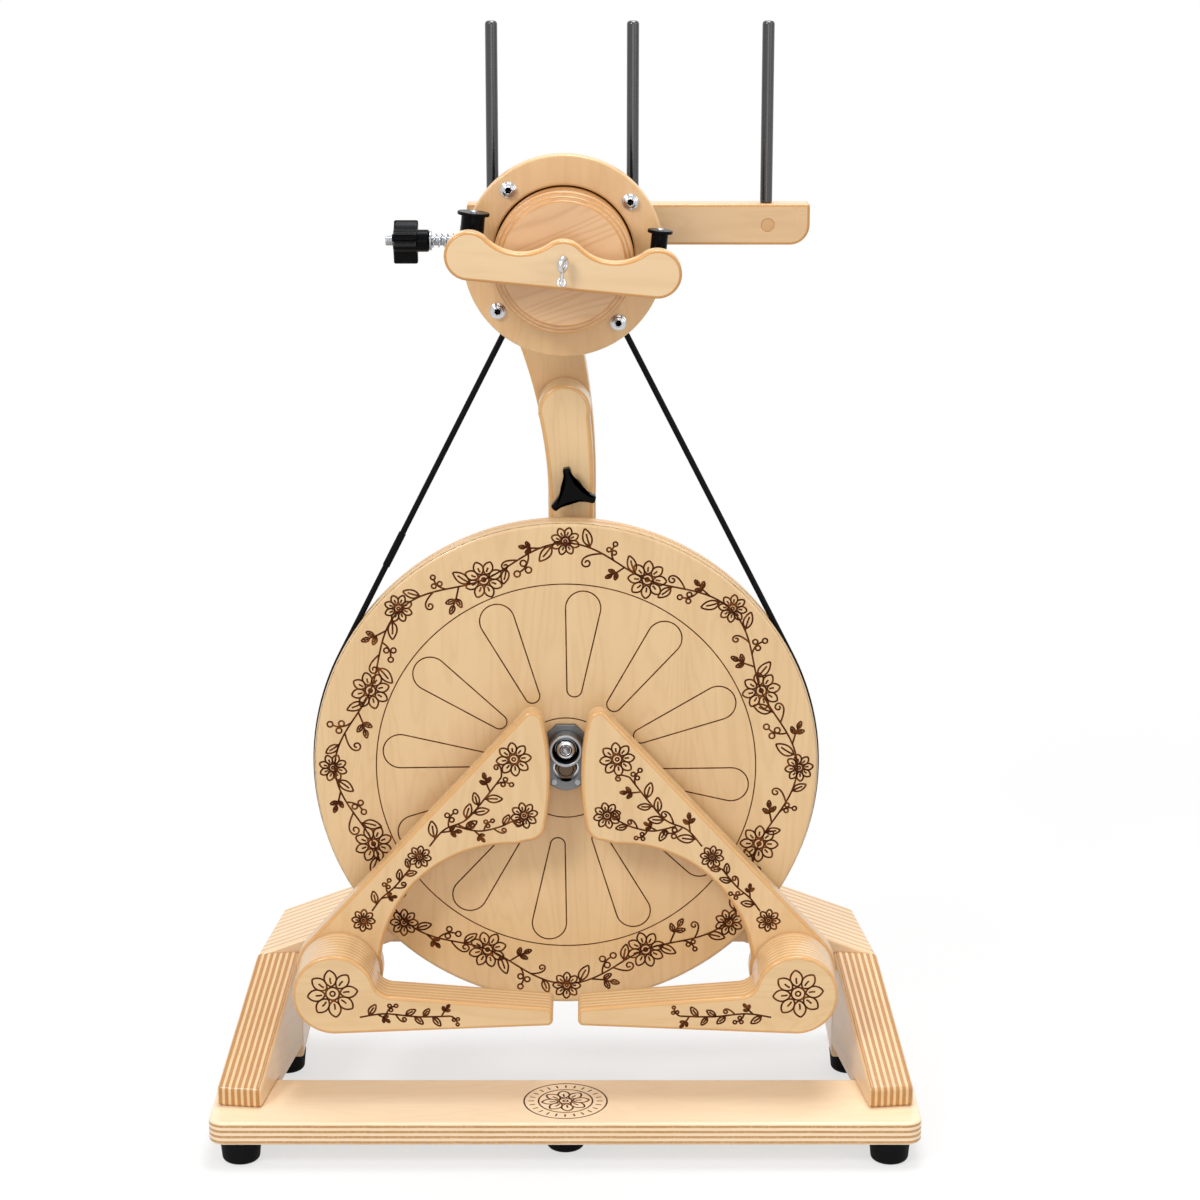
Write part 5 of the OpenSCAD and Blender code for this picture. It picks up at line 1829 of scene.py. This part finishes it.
@dataclass(frozen=True)
class DriveWheel(SubAssembly):
    """The wheel with its burnt border, the crank and the roller."""

    wheel_edge: Rounding = Rounding(1.5 * MM, 4)
    plate_edge: Rounding = Rounding(0.7 * MM, 3)
    bearing_edge: Rounding = Rounding.fine(0.4 * MM, 2)
    screw_edge: Rounding = Rounding.fine(0.3 * MM, 2)
    roller_edge: Rounding = Rounding.fine(0.9 * MM, 4)
    wheel_layers: int = 4

    bolt: ScrewHead = ScrewHead(radius=8.2 * MM, height=5.4 * MM, socket=3.9 * MM, depth=3.2 * MM)
    shank_radius: float = 4.0 * MM
    collar_radius: float = 6.0 * MM
    collar_start: float = 6.2 * MM
    # A black lining in the roller's cup; it paints the shade that fills the cup.
    cup_shade_lining: LippedRing = LippedRing(
        inner=8.6 * MM, outer=10.75 * MM, height=6.6 * MM, skin=0.6 * MM
    )
    cup_shade_gap: float = 0.25 * MM

    spokes: int = 12
    first_spoke: float = math.radians(-6)
    spoke_reach: Point2 = (60 * MM, 148 * MM)
    spoke_ends: Point2 = (6 * MM, 14 * MM)
    spoke_line: float = 1.1 * MM
    circles: Point2 = (42 * MM, 153 * MM)
    circle_sides: int = 180
    circle_line: float = 1.0 * MM
    border: float = 178 * MM
    waves: int = 8
    sway: float = 8.5 * MM
    stem_steps: int = 720
    leaf: float = 17 * MM
    wave_leaves: int = 14
    # How far each kind of flower stands outside the border, and its radius
    flowers: tuple[Point2, Point2] = ((10.0 * MM, 11.5 * MM), (-8.5 * MM, 15.5 * MM))

    def dress(self) -> None:
        """Builds and dresses every piece."""
        low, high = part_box("drive_wheel")
        ply = Plywood.sheet(
            "wheel_ply",
            low.y,
            high.y - low.y,
            self.wheel_layers,
            grain=Axis.Z,
            edge_brown=srgb(222, 180, 128),
        )
        self.shape(ply, self.wheel_edge, "drive_wheel")
        self.shape(Palette.plate, self.plate_edge, "crank_plate")
        self.shape(Palette.chrome, self.bearing_edge, "wheel_bearings")
        self.shape(Palette.steel, self.screw_edge, "plate_screws")
        self.shape(Palette.steel, self.roller_edge, "crank_roller")
        self._crank_bolt()
        centre = (0.0, low.y, WHEEL_AXIS_Z)
        self._engrave_spokes(centre)
        self._engrave_border(centre)

    def _crank_bolt(self) -> None:
        """Turns the socket bolt that carries the roller, and a black lining that paints shade in the
        roller's cup.
        """
        low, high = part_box("crank_bolt")
        rise = (low.z + high.z) / 2
        foot = low.y + self.bolt.height
        collar, plate = foot + self.collar_start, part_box("crank_plate")[0].y
        thin, thick = self.shank_radius, self.collar_radius
        shank = (
            (thin, foot),
            (thin, collar),
            (thick, collar),
            (thick, plate),
            (thin, plate),
            (thin, high.y),
        )
        bolt = replace(self.bolt, shank=tuple((radius, foot - y) for radius, y in shank))
        # Duller steel in the socket is painted shade.
        name, finishes = "crank_bolt_turned", (Palette.chrome, Palette.steel)
        made = self.turned(name, bolt.mesh(name), (0.0, foot, rise), finishes)
        self.settle(made, "wheel", SLOT_OF["crank_bolt"], "crank_bolt")
        # The cup's shade, painted as a black lining
        name, finishes = "roller_seal", (Palette.black, Palette.steel)
        seat = (0.0, foot + self.cup_shade_gap, rise)
        made = self.turned(name, self.cup_shade_lining.mesh(name), seat, finishes)
        self.settle(made, "roller", SLOT_OF["crank_roller"])

    def _engrave_spokes(self, centre: Point3) -> None:
        """Burns the spokes and the two circles into the front face.

        Args:
            centre: The wheel's centre on that face.
        """
        drop = Sketch().line(self._teardrop(), closed=True)
        self.lines(
            "wheel_spokes",
            "wheel",
            drop,
            self.spoke_line,
            centre,
            copies=self.spokes,
            first=self.first_spoke,
        )
        circles = Sketch()
        for radius in self.circles:
            circles.ring(radius, self.circle_sides)
        self.lines("wheel_circles", "wheel", circles, self.circle_line, centre)

    def _engrave_border(self, centre: Point3) -> None:
        """Burns a waving vine with flowers at its bends along the rim.

        Args:
            centre: The wheel's centre on the front face.
        """
        stem = []
        for i in range(self.stem_steps):
            turn = math.tau * i / self.stem_steps
            stem.append(polar(self.border + self.sway * math.cos(self.waves * turn), turn))
        places = []
        for i in range(2 * self.waves):
            reach, size = self.flowers[i % 2]
            places.append((*polar(self.border + reach, math.pi * i / self.waves), size))
        sketch = Sketch().line(stem, closed=True)
        leaves, gap = self.wave_leaves * self.waves, self.wave_leaves // 2
        self.vine("wheel_vine", "wheel", sketch, centre, self.leaf, leaves, gap)
        self.rosettes("wheel_flowers", "wheel", places, centre)

    def _teardrop(self) -> list[Point2]:
        """Outlines a spoke, round at both ends and wider at the rim.

        Returns:
            The points of the outline.
        """
        (inner, outer), (small, large) = self.spoke_reach, self.spoke_ends
        low, high = (0.0, inner + small), (0.0, outer - large)
        lean = math.degrees(math.asin((large - small) / (high[1] - low[1])))
        return [
            *Sketch.arc(high, large, -lean, 180 + lean, 24),
            *Sketch.arc(low, small, 180 + lean, 360 - lean, 16),
        ]


@dataclass(frozen=True)
class Shoot:
    """A vine on the left treadle: its stem seen from the front and its leaves, in millimetres."""

    name: str
    stem: tuple[Point2, ...]
    places: int
    leaf: float


@dataclass(frozen=True)
class Treadles(SubAssembly):
    """Two rocking arms with their foot plates; what is burnt in is given for the left one."""

    arm_edge: Rounding = Rounding(2.8 * MM, 5, merge=0.3 * MM)
    pedal_edge: Rounding = Rounding(2.6 * MM, 5, merge=0.3 * MM)
    pivot_edge: Rounding = Rounding.fine(0.5 * MM, 3)
    arm_thick: float = 18 * MM
    arm_layers: int = 4
    pedal_thick: float = 36 * MM
    pedal_layers: int = 6
    arm_vines: tuple[Shoot, ...] = (
        Shoot("arm_shoot", ((-156, 175), (-148, 186), (-137, 196), (-125, 211)), 8, 10.5),
        Shoot("arm_vine", ((-109, 230), (-97, 244), (-80, 252), (-66, 268), (-51, 288)), 12, 14.0),
        Shoot("arm_twig", ((-88, 247), (-70, 243), (-54, 246), (-43, 251)), 7, 10.5),
    )
    pedal_vines: tuple[Shoot, ...] = (
        Shoot("pedal_vine", ((-163, 106), (-143, 109), (-117, 106.5), (-91, 107)), 11, 10.0),
    )
    arm_flowers: tuple[Point3, ...] = (
        (-41, 303, 14),
        (-33, 256, 11),
        (-117, 221, 9.5),
        (-163, 167, 9.5),
    )
    pedal_flowers: tuple[Point3, ...] = ((-184, 126, 20),)

    def dress(self) -> None:
        """Builds and dresses every piece."""
        for side in Side:
            self._wood(side)
            pivots = [side.named("pivot_" + part) for part in ("rod", "spacer", "collar")]
            self.shape(Palette.steel, self.pivot_edge, *pivots)
            self._engrave(side)

    def _wood(self, side: Side) -> None:
        """Dresses the arm and the pedal of one side.

        Args:
            side: The treadle's side.
        """
        arm, pedal = side.named("treadle_arm"), side.named("pedal")
        ply = Plywood.sheet(
            arm + "_ply",
            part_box(arm)[0].y,
            self.arm_thick,
            self.arm_layers,
            grain=Axis.Z,
            edge_brown=srgb(206, 158, 104),
        )
        self.shape(ply, self.arm_edge, arm, edge=Palette.ply_edge)
        ply = Plywood.sheet(
            pedal + "_ply",
            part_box(pedal)[0].y,
            self.pedal_thick,
            self.pedal_layers,
            grain=Axis.X,
            edge_brown=srgb(204, 157, 106),
        )
        self.shape(ply, self.pedal_edge, pedal, edge=Palette.ply_edge)

    def _engrave(self, side: Side) -> None:
        """Burns vines and flowers into one side, mirrored on the right.

        Args:
            side: The treadle's side.
        """
        body = "treadle_" + side.name.lower()
        across = -side.value * MM
        arm_y, pedal_y = (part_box(side.named(part))[0].y for part in ("treadle_arm", "pedal"))
        for face, shoots in ((arm_y, self.arm_vines), (pedal_y, self.pedal_vines)):
            for shoot in shoots:
                path = Sketch.flowing([(across * x, z * MM) for x, z in shoot.stem])
                name, stem = side.named(shoot.name), Sketch().line(path)
                self.vine(name, body, stem, (0.0, face, 0.0), shoot.leaf * MM, shoot.places)
        for face, name, flowers in (
            (arm_y, "arm_flowers", self.arm_flowers),
            (pedal_y, "pedal_flowers", self.pedal_flowers),
        ):
            places = [(across * x, z * MM, radius * MM) for x, z, radius in flowers]
            self.rosettes(side.named(name), body, places, (0.0, face, 0.0))


@dataclass(frozen=True)
class Head(SubAssembly):
    """The neck that slides on the post, the bar of bobbin rods and the drive band."""

    neck_edge: Rounding = Rounding(3.0 * MM, 5, merge=0.5 * MM)
    bar_edge: Rounding = Rounding(2.2 * MM, 4)
    plug_edge: Rounding = Rounding.fine(0.25 * MM, 2)
    rod_edge: Rounding = Rounding.fine(1.0 * MM, 4)
    bearing_edge: Rounding = Rounding.fine(0.4 * MM, 2)
    cord_radius: float = 2.4 * MM
    whorl_radius: float = 11.5 * MM
    wheel_steps: int = 120
    whorl_steps: int = 24
    run_steps: int = 24
    sleeve_skin: float = 0.6 * MM
    sleeve_shares: Point3 = (0.22, 0.26, 0.3)
    blend_margin: float = 12 * MM

    def dress(self) -> None:
        """Builds and dresses every piece."""
        self.shape(Palette.maple_neck, self.neck_edge, "neck", edge=Palette.ply_edge)
        self.shape(Palette.maple_bar, self.bar_edge, "kate_bar", edge=Palette.maple_edge)
        self.shape(Palette.maple_end, self.plug_edge, "bar_plug")
        self.shape(Palette.rod, self.rod_edge, "kate_rods")
        self.shape(Palette.chrome, self.rod_edge, "head_screws")
        self.shape(Palette.steel, self.bearing_edge, "neck_bearings")
        self._band()

    def _band(self) -> None:
        """Lays the drive band round the wheel and the whorl, with its joining sleeve."""
        low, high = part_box("drive_band")
        plane = (low.y + high.y) / 2
        radius = self.cord_radius
        wheel, whorl = Vector((0.0, WHEEL_AXIS_Z)), Vector((0.0, HEAD_AXIS_Z))
        large, small = (high.x - low.x) / 2 - radius, self.whorl_radius
        lean = math.asin((large - small) / (whorl.y - wheel.y))
        tilt = math.degrees(lean)
        lower = Sketch.arc(tuple(wheel), large, 180 - tilt, 360 + tilt, self.wheel_steps)
        upper = Sketch.arc(tuple(whorl), small, tilt, 180 - tilt, self.whorl_steps)
        shares = [i / self.run_steps for i in range(1, self.run_steps)]
        rise, fall = (
            [Vector(a).lerp(Vector(b), share) for share in shares]
            for a, b in ((lower[-1], upper[0]), (upper[-1], lower[0]))
        )
        loop = [*lower, *rise, *upper, *fall]
        out = Vector((-math.cos(lean), math.sin(lean)))
        start, stop = wheel + out * large, whorl + out * small
        sleeve = [start.lerp(stop, share) for share in self.sleeve_shares]
        first, last = (0.0, plane, start.y), (0.0, plane, stop.y - self.blend_margin)
        for name, path, closed, thick, nodes in (
            ("drive_band_cord", loop, True, radius, ("drive_band",)),
            ("drive_band_sleeve", sleeve, False, radius + self.sleeve_skin, ()),
        ):
            sketch = Sketch().line([(x, plane, z) for x, z in path], closed)
            values = {"Radius": thick, "Material": self.palette[Palette.belt]}
            made = self.trees.cord.grow(name, sketch.mesh(name), values)
            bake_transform(made, "base", "head", first, last)
            self.label(made, SLOT_OF["drive_band"], *nodes)


@dataclass(frozen=True)
class Flyer(SubAssembly):
    """The ring flyer with its bar, rods, guides and orifice eye, turned a little at rest."""

    ring_edge: Rounding = Rounding(1.8 * MM, 4)
    bar_edge: Rounding = Rounding(2.2 * MM, 5, small_share=0.0)
    hub_edge: Rounding = Rounding(0.8 * MM, 3)
    whorl_edge: Rounding = Rounding(0.5 * MM, 3)
    bearing_edge: Rounding = Rounding.fine(0.4 * MM, 2)
    rod_edge: Rounding = Rounding.fine(0.6 * MM, 3)
    eye_edge: Rounding = Rounding.fine(0.2 * MM, 2)
    ring_thick: float = 15 * MM
    ring_layers: int = 3
    turn: float = math.radians(5.5)
    ring_screws: int = 4
    screw_circle: float = 65 * MM
    screw_radius: float = 5.4 * MM
    screw_socket: float = 2.5 * MM
    screw_depth: float = 2.2 * MM
    washer_radius: float = 6.2 * MM
    washer_height: float = 1.0 * MM
    guide_screw: ScrewHead = ScrewHead(
        radius=2.6 * MM, height=1.4 * MM, socket=1.0 * MM, depth=0.9 * MM
    )
    guide_reach: float = 69.5 * MM
    guide_top: float = 31.2 * MM
    smooth: float = math.radians(35)

    def dress(self) -> None:
        """Builds and dresses every piece."""
        ring_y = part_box("flyer_ring")[0].y
        ply = Plywood.sheet(
            "ring_ply",
            ring_y,
            self.ring_thick,
            self.ring_layers,
            grain=Axis.Z,
            light=srgb(226, 184, 130),
            dark=srgb(200, 152, 98),
            edge_brown=srgb(214, 166, 112),
        )
        self.shape(ply, self.ring_edge, "flyer_ring")
        self.shape(Palette.maple_across, self.bar_edge, "flyer_bar", edge=Palette.maple_edge)
        self.shape(Palette.black, self.hub_edge, "flyer_hub")
        self.shape(Palette.black, self.whorl_edge, "whorl")
        self.shape(Palette.steel, self.bearing_edge, "hub_bearings")
        self.shape(Palette.steel, self.rod_edge, "flyer_rods")
        self.shape(Palette.chrome, self.eye_edge, "orifice_eye")
        for side in Side:
            self.shape(Palette.black, self.rod_edge, side.named("guide"))
            self._guide_screw(side)
        self._ring_screws(ring_y)

    def _ring_screws(self, ring_y: float) -> None:
        """Sets the washered screws round the ring.

        Args:
            ring_y: Where the ring's front lies.
        """
        name = "ring_screw_heads"
        head = ScrewHead(
            self.screw_radius,
            ring_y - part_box("ring_screws")[0].y,
            self.screw_socket,
            self.screw_depth,
            self.washer_radius,
            self.washer_height,
        )
        aside = self.screw_circle / math.sqrt(2)
        made = self.turned(
            name,
            head.mesh(name, (aside, aside)),
            (0.0, ring_y, HEAD_AXIS_Z),
            # Black in the sockets is painted shade.
            (Palette.chrome, Palette.black),
            self.ring_screws,
            -self.turn,
        )
        self.settle(made, "flyer", "chrome", "ring_screws")

    def _guide_screw(self, side: Side) -> None:
        """Sets a small screw in the top of a yarn guide.

        Args:
            side: The guide's side.
        """
        node = side.named("guide")
        low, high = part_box(node)
        mesh = self.guide_screw.mesh(node + "_screw")
        along = Vector((math.cos(self.turn), 0.0, -math.sin(self.turn)))
        up = Vector((math.sin(self.turn), 0.0, math.cos(self.turn)))
        out, top = side.value * self.guide_reach, self.guide_top
        seat = Vector(
            (
                out * math.cos(self.turn) + top * up.x,
                (low.y + high.y) / 2,
                HEAD_AXIS_Z - out * math.sin(self.turn) + top * up.z,
            )
        )
        for vert in mesh.vertices:
            x, y, z = vert.co
            vert.co = seat + along * x + Vector((0.0, y, 0.0)) + up * z
        mesh.materials.append(self.palette[Palette.chrome])
        mesh.polygons.foreach_set("use_smooth", [True] * len(mesh.polygons))
        mesh.set_sharp_from_angle(angle=self.smooth)
        made = bpy.data.objects.new(node + "_screw", mesh)
        bpy.context.scene.collection.objects.link(made)
        self.settle(made, BODY_OF[node], "chrome")


@dataclass(frozen=True)
class Bobbin(SubAssembly):
    """The bobbin on its spindle, with the brake drum behind."""

    wood_edge: Rounding = Rounding(1.3 * MM, 4)
    spindle_edge: Rounding = Rounding.fine(0.4 * MM, 3)

    def dress(self) -> None:
        """Builds and dresses every piece."""
        wood = ("bobbin_front", "bobbin_core", "bobbin_back", "brake_drum")
        self.shape(Palette.maple_turned, self.wood_edge, *wood, edge=Palette.maple_edge)
        self.shape(Palette.steel, self.spindle_edge, "spindle", "spindle_collar")


@dataclass(frozen=True)
class Brake(SubAssembly):
    """The bobbin brake: eye bolt, spring, knob and cord."""

    bracket_edge: Rounding = Rounding(0.5 * MM, 3)
    washer_edge: Rounding = Rounding.fine(0.3 * MM, 2)
    knob_edge: Rounding = Rounding.fine(1.6 * MM, 5)
    bolt_edge: Rounding = Rounding.fine(0.5 * MM, 3)
    spring_turns: float = 5.0
    spring_radius: float = 5.1 * MM
    spring_wire: float = 0.6 * MM
    thread_pitch: float = 1.25 * MM
    thread_length: float = 60 * MM
    thread_radius: float = 3.5 * MM
    thread_wire: float = 0.42 * MM
    thread_start: float = 1.2 * MM
    eye_x: float = -48 * MM
    drum_radius: float = 22.2 * MM
    drum_steps: int = 90
    cord_radius: float = 0.9 * MM
    cord_lay: float = 5 * MM

    def dress(self) -> None:
        """Builds and dresses every piece."""
        self.shape(Palette.steel, self.bracket_edge, "brake_bracket")
        self.shape(Palette.steel, self.washer_edge, "brake_washer")
        self.shape(Palette.black, self.knob_edge, "brake_knob")
        self.shape(Palette.steel, self.bolt_edge, "brake_bolt")
        self._spring()
        self._thread()
        self._cord()

    @property
    def seat(self) -> Vector:
        """The middle of the washer, on the bolt's axis."""
        return sum(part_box("brake_washer"), Vector()) / 2

    def _coil(self, name: str, finish: Finish, values: Settings) -> bpy.types.Object:
        """Winds a wire along the bolt.

        Args:
            name: Name of the piece.
            finish: Its finish.
            values: Values of the tree's inputs, apart from the material.

        Returns:
            The new object.
        """
        seed = Sketch().line([(0.0, 0.0), (0.0, MM)]).mesh(name)
        return self.trees.coil.grow(name, seed, {**values, "Material": self.palette[finish]})

    def _spring(self) -> None:
        """Winds the brake spring between the bracket and the washer."""
        plane, height = self.seat.yz
        low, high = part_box("brake_spring")
        values = {
            "Turns": self.spring_turns,
            "Radius": self.spring_radius,
            "Length": high.x - low.x - 2 * self.spring_wire,
            "Wire": self.spring_wire,
            "Start": (low.x + self.spring_wire, plane, height),
        }
        made = self._coil("brake_spring_coil", Palette.chrome, values)
        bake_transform(made, "brake_seat", "head", (low.x, plane, height), (high.x, plane, height))
        self.label(made, SLOT_OF["brake_spring"], "brake_spring")

    def _thread(self) -> None:
        """Cuts a thread along the eye bolt."""
        plane, height = self.seat.yz
        values = {
            "Turns": self.thread_length / self.thread_pitch,
            "Radius": self.thread_radius,
            "Length": self.thread_length,
            "Wire": self.thread_wire,
            "Start": (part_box("brake_bolt")[0].x + self.thread_start, plane, height),
        }
        made = self._coil("brake_bolt_thread", Palette.steel, values)
        self.settle(made, "head", SLOT_OF["brake_bolt"])

    def _cord(self) -> None:
        """Loops a twisted cord from the eye round the drum."""
        plane, height = self.seat.yz
        name = "brake_cord_laid"
        eye, axis = Vector((self.eye_x, height)), Vector((0.0, HEAD_AXIS_Z))
        away = eye - axis
        heading = math.degrees(math.atan2(away.y, away.x))
        half = math.degrees(math.acos(self.drum_radius / away.length))
        first, last = heading + half, heading + 360 - half
        wrap = Sketch.arc(tuple(axis), self.drum_radius, first, last, self.drum_steps)
        path = [(x, plane, z) for x, z in (tuple(eye), *wrap)]
        values = {
            "Radius": self.cord_radius,
            "Lay": self.cord_lay,
            "Material": self.palette[Palette.cotton],
        }
        seed = Sketch().line(path, closed=True).mesh(name)
        made = self.trees.rope.grow(name, seed, values)
        self.settle(made, "head", SLOT_OF["brake_cord"], "brake_cord")


@dataclass(frozen=True)
class Lamp:
    """A soft round lamp that faces a point of the object."""

    name: str
    place: Point3
    size: float
    power: float
    colour: Point3 = (1.0, 1.0, 1.0)
    aim: Point3 = (0.0, 0.0, 0.42)

    def hang(self) -> None:
        """Adds the lamp."""
        data = bpy.data.lights.new(self.name, "AREA")
        data.shape = "DISK"
        data.size = self.size
        data.energy = self.power
        data.color = self.colour
        made = bpy.data.objects.new(self.name, data)
        made.location = self.place
        heading = Vector(self.aim) - Vector(self.place)
        made.rotation_euler = heading.to_track_quat("-Z", "Y").to_euler()
        bpy.context.scene.collection.objects.link(made)


@dataclass(frozen=True)
class Studio:
    """White floor, white surroundings, soft lamps and the camera."""

    sky: float = 0.44
    sky_colour: Colour = (1.0, 0.96, 0.885, 1.0)
    floor_reach: float = 30.0
    floor_fade: Point2 = (0.5, 1.5)
    floor_glow: float = 0.64
    floor_whites: tuple[Colour, Colour] = (grey(0.9), grey(0.93))
    floor_unseen: Colour = grey(0.55)
    floor_rough: float = 0.7
    floor_waves: float = 8.0
    lamps: tuple[Lamp, ...] = (
        Lamp("key", (-1.5, -1.9, 2.3), 0.9, 37.0, (0.99, 1.0, 1.04)),
        Lamp("fill", (1.7, -1.5, 1.3), 1.2, 9.0),
        Lamp("front", (0.1, -2.8, 0.9), 1.4, 8.0),
        Lamp("top", (0.2, 0.3, 2.6), 1.2, 41.0, (0.97, 1.0, 1.06)),
    )
    camera_place: Point3 = (0.0274, -2.2208, 1.0088)
    camera_tilt: float = 75.3
    lens: float = 87.0
    sensor: float = 36.0

    def set_up(self) -> None:
        """Builds the studio round the object."""
        bpy.context.scene.view_settings.view_transform = "Standard"
        self._world()
        self._floor()
        for lamp in self.lamps:
            lamp.hang()
        self._camera()

    def _world(self) -> None:
        """Makes the surroundings white where they are seen, softer as a light."""
        scene = bpy.context.scene
        scene.world = scene.world or bpy.data.worlds.new("world")
        scene.world.use_nodes = True
        graph = Graph(scene.world.node_tree)
        seen = graph.seen()
        light, white = (
            graph.wire("ShaderNodeBackground", 0, None, {"Color": colour, "Strength": strength})
            for colour, strength in ((self.sky_colour, self.sky), (WHITE, 1.0))
        )
        shade = graph.wire("ShaderNodeMixShader", 0, None, {0: seen, 1: light, 2: white})
        graph.node("ShaderNodeOutputWorld", None, {"Surface": shade})

    def _floor(self) -> None:
        """Lays a pale floor that keeps the shadow and fades into the white round it."""
        reach = self.floor_reach
        mesh = bpy.data.meshes.new("floor")
        corners = [(x * reach, y * reach, 0.0) for x, y in ((-1, -1), (1, -1), (1, 1), (-1, 1))]
        mesh.from_pydata(corners, [], [(0, 1, 2, 3)])
        floor = bpy.data.objects.new("floor", mesh)
        bpy.context.scene.collection.objects.link(floor)
        mesh.materials.append(self._floor_material())

    def _floor_material(self) -> bpy.types.Material:
        """Paints the floor.

        Returns:
            Matt white paint that glows where it is seen, and fully so far away.
        """
        graph = ShaderGraph("floor_white")
        at = graph.place()
        far = graph.vector("LENGTH", at).step(*self.floor_fade)
        seen = graph.seen()
        white = graph.blend(*self.floor_whites, graph.noise(at, self.floor_waves))
        sockets = {
            "Base Color": graph.blend(self.floor_unseen, white, seen),
            "Roughness": self.floor_rough,
        }
        paint = graph.wire("ShaderNodeBsdfPrincipled", 0, None, sockets)
        glow = graph.wire("ShaderNodeEmission", 0, None, {"Color": WHITE, "Strength": 1.0})
        share = far * seen * (1.0 - self.floor_glow) + seen * self.floor_glow
        return graph.end(graph.wire("ShaderNodeMixShader", 0, None, {0: share, 1: paint, 2: glow}))

    def _camera(self) -> None:
        """Adds the camera that sees the object from the front."""
        data = bpy.data.cameras.new("camera")
        data.lens = self.lens
        data.sensor_width = self.sensor
        made = bpy.data.objects.new("camera", data)
        made.location = self.camera_place
        made.rotation_euler = (math.radians(self.camera_tilt), 0.0, 0.0)
        bpy.context.scene.collection.objects.link(made)
        bpy.context.scene.camera = made


def main() -> None:
    """Dresses the sub-assemblies in order, sets up the studio and notes the sizes."""
    logging.basicConfig(level=logging.INFO, format="%(message)s")
    palette, trees = Palette(), Trees()
    for kind in (Base, DriveWheel, Treadles, Head, Flyer, Bobbin, Brake):
        log.info("Dressing %s", kind.__name__)
        kind(palette, trees).dress()
    Studio().set_up()


if __name__ == "__main__":
    main()
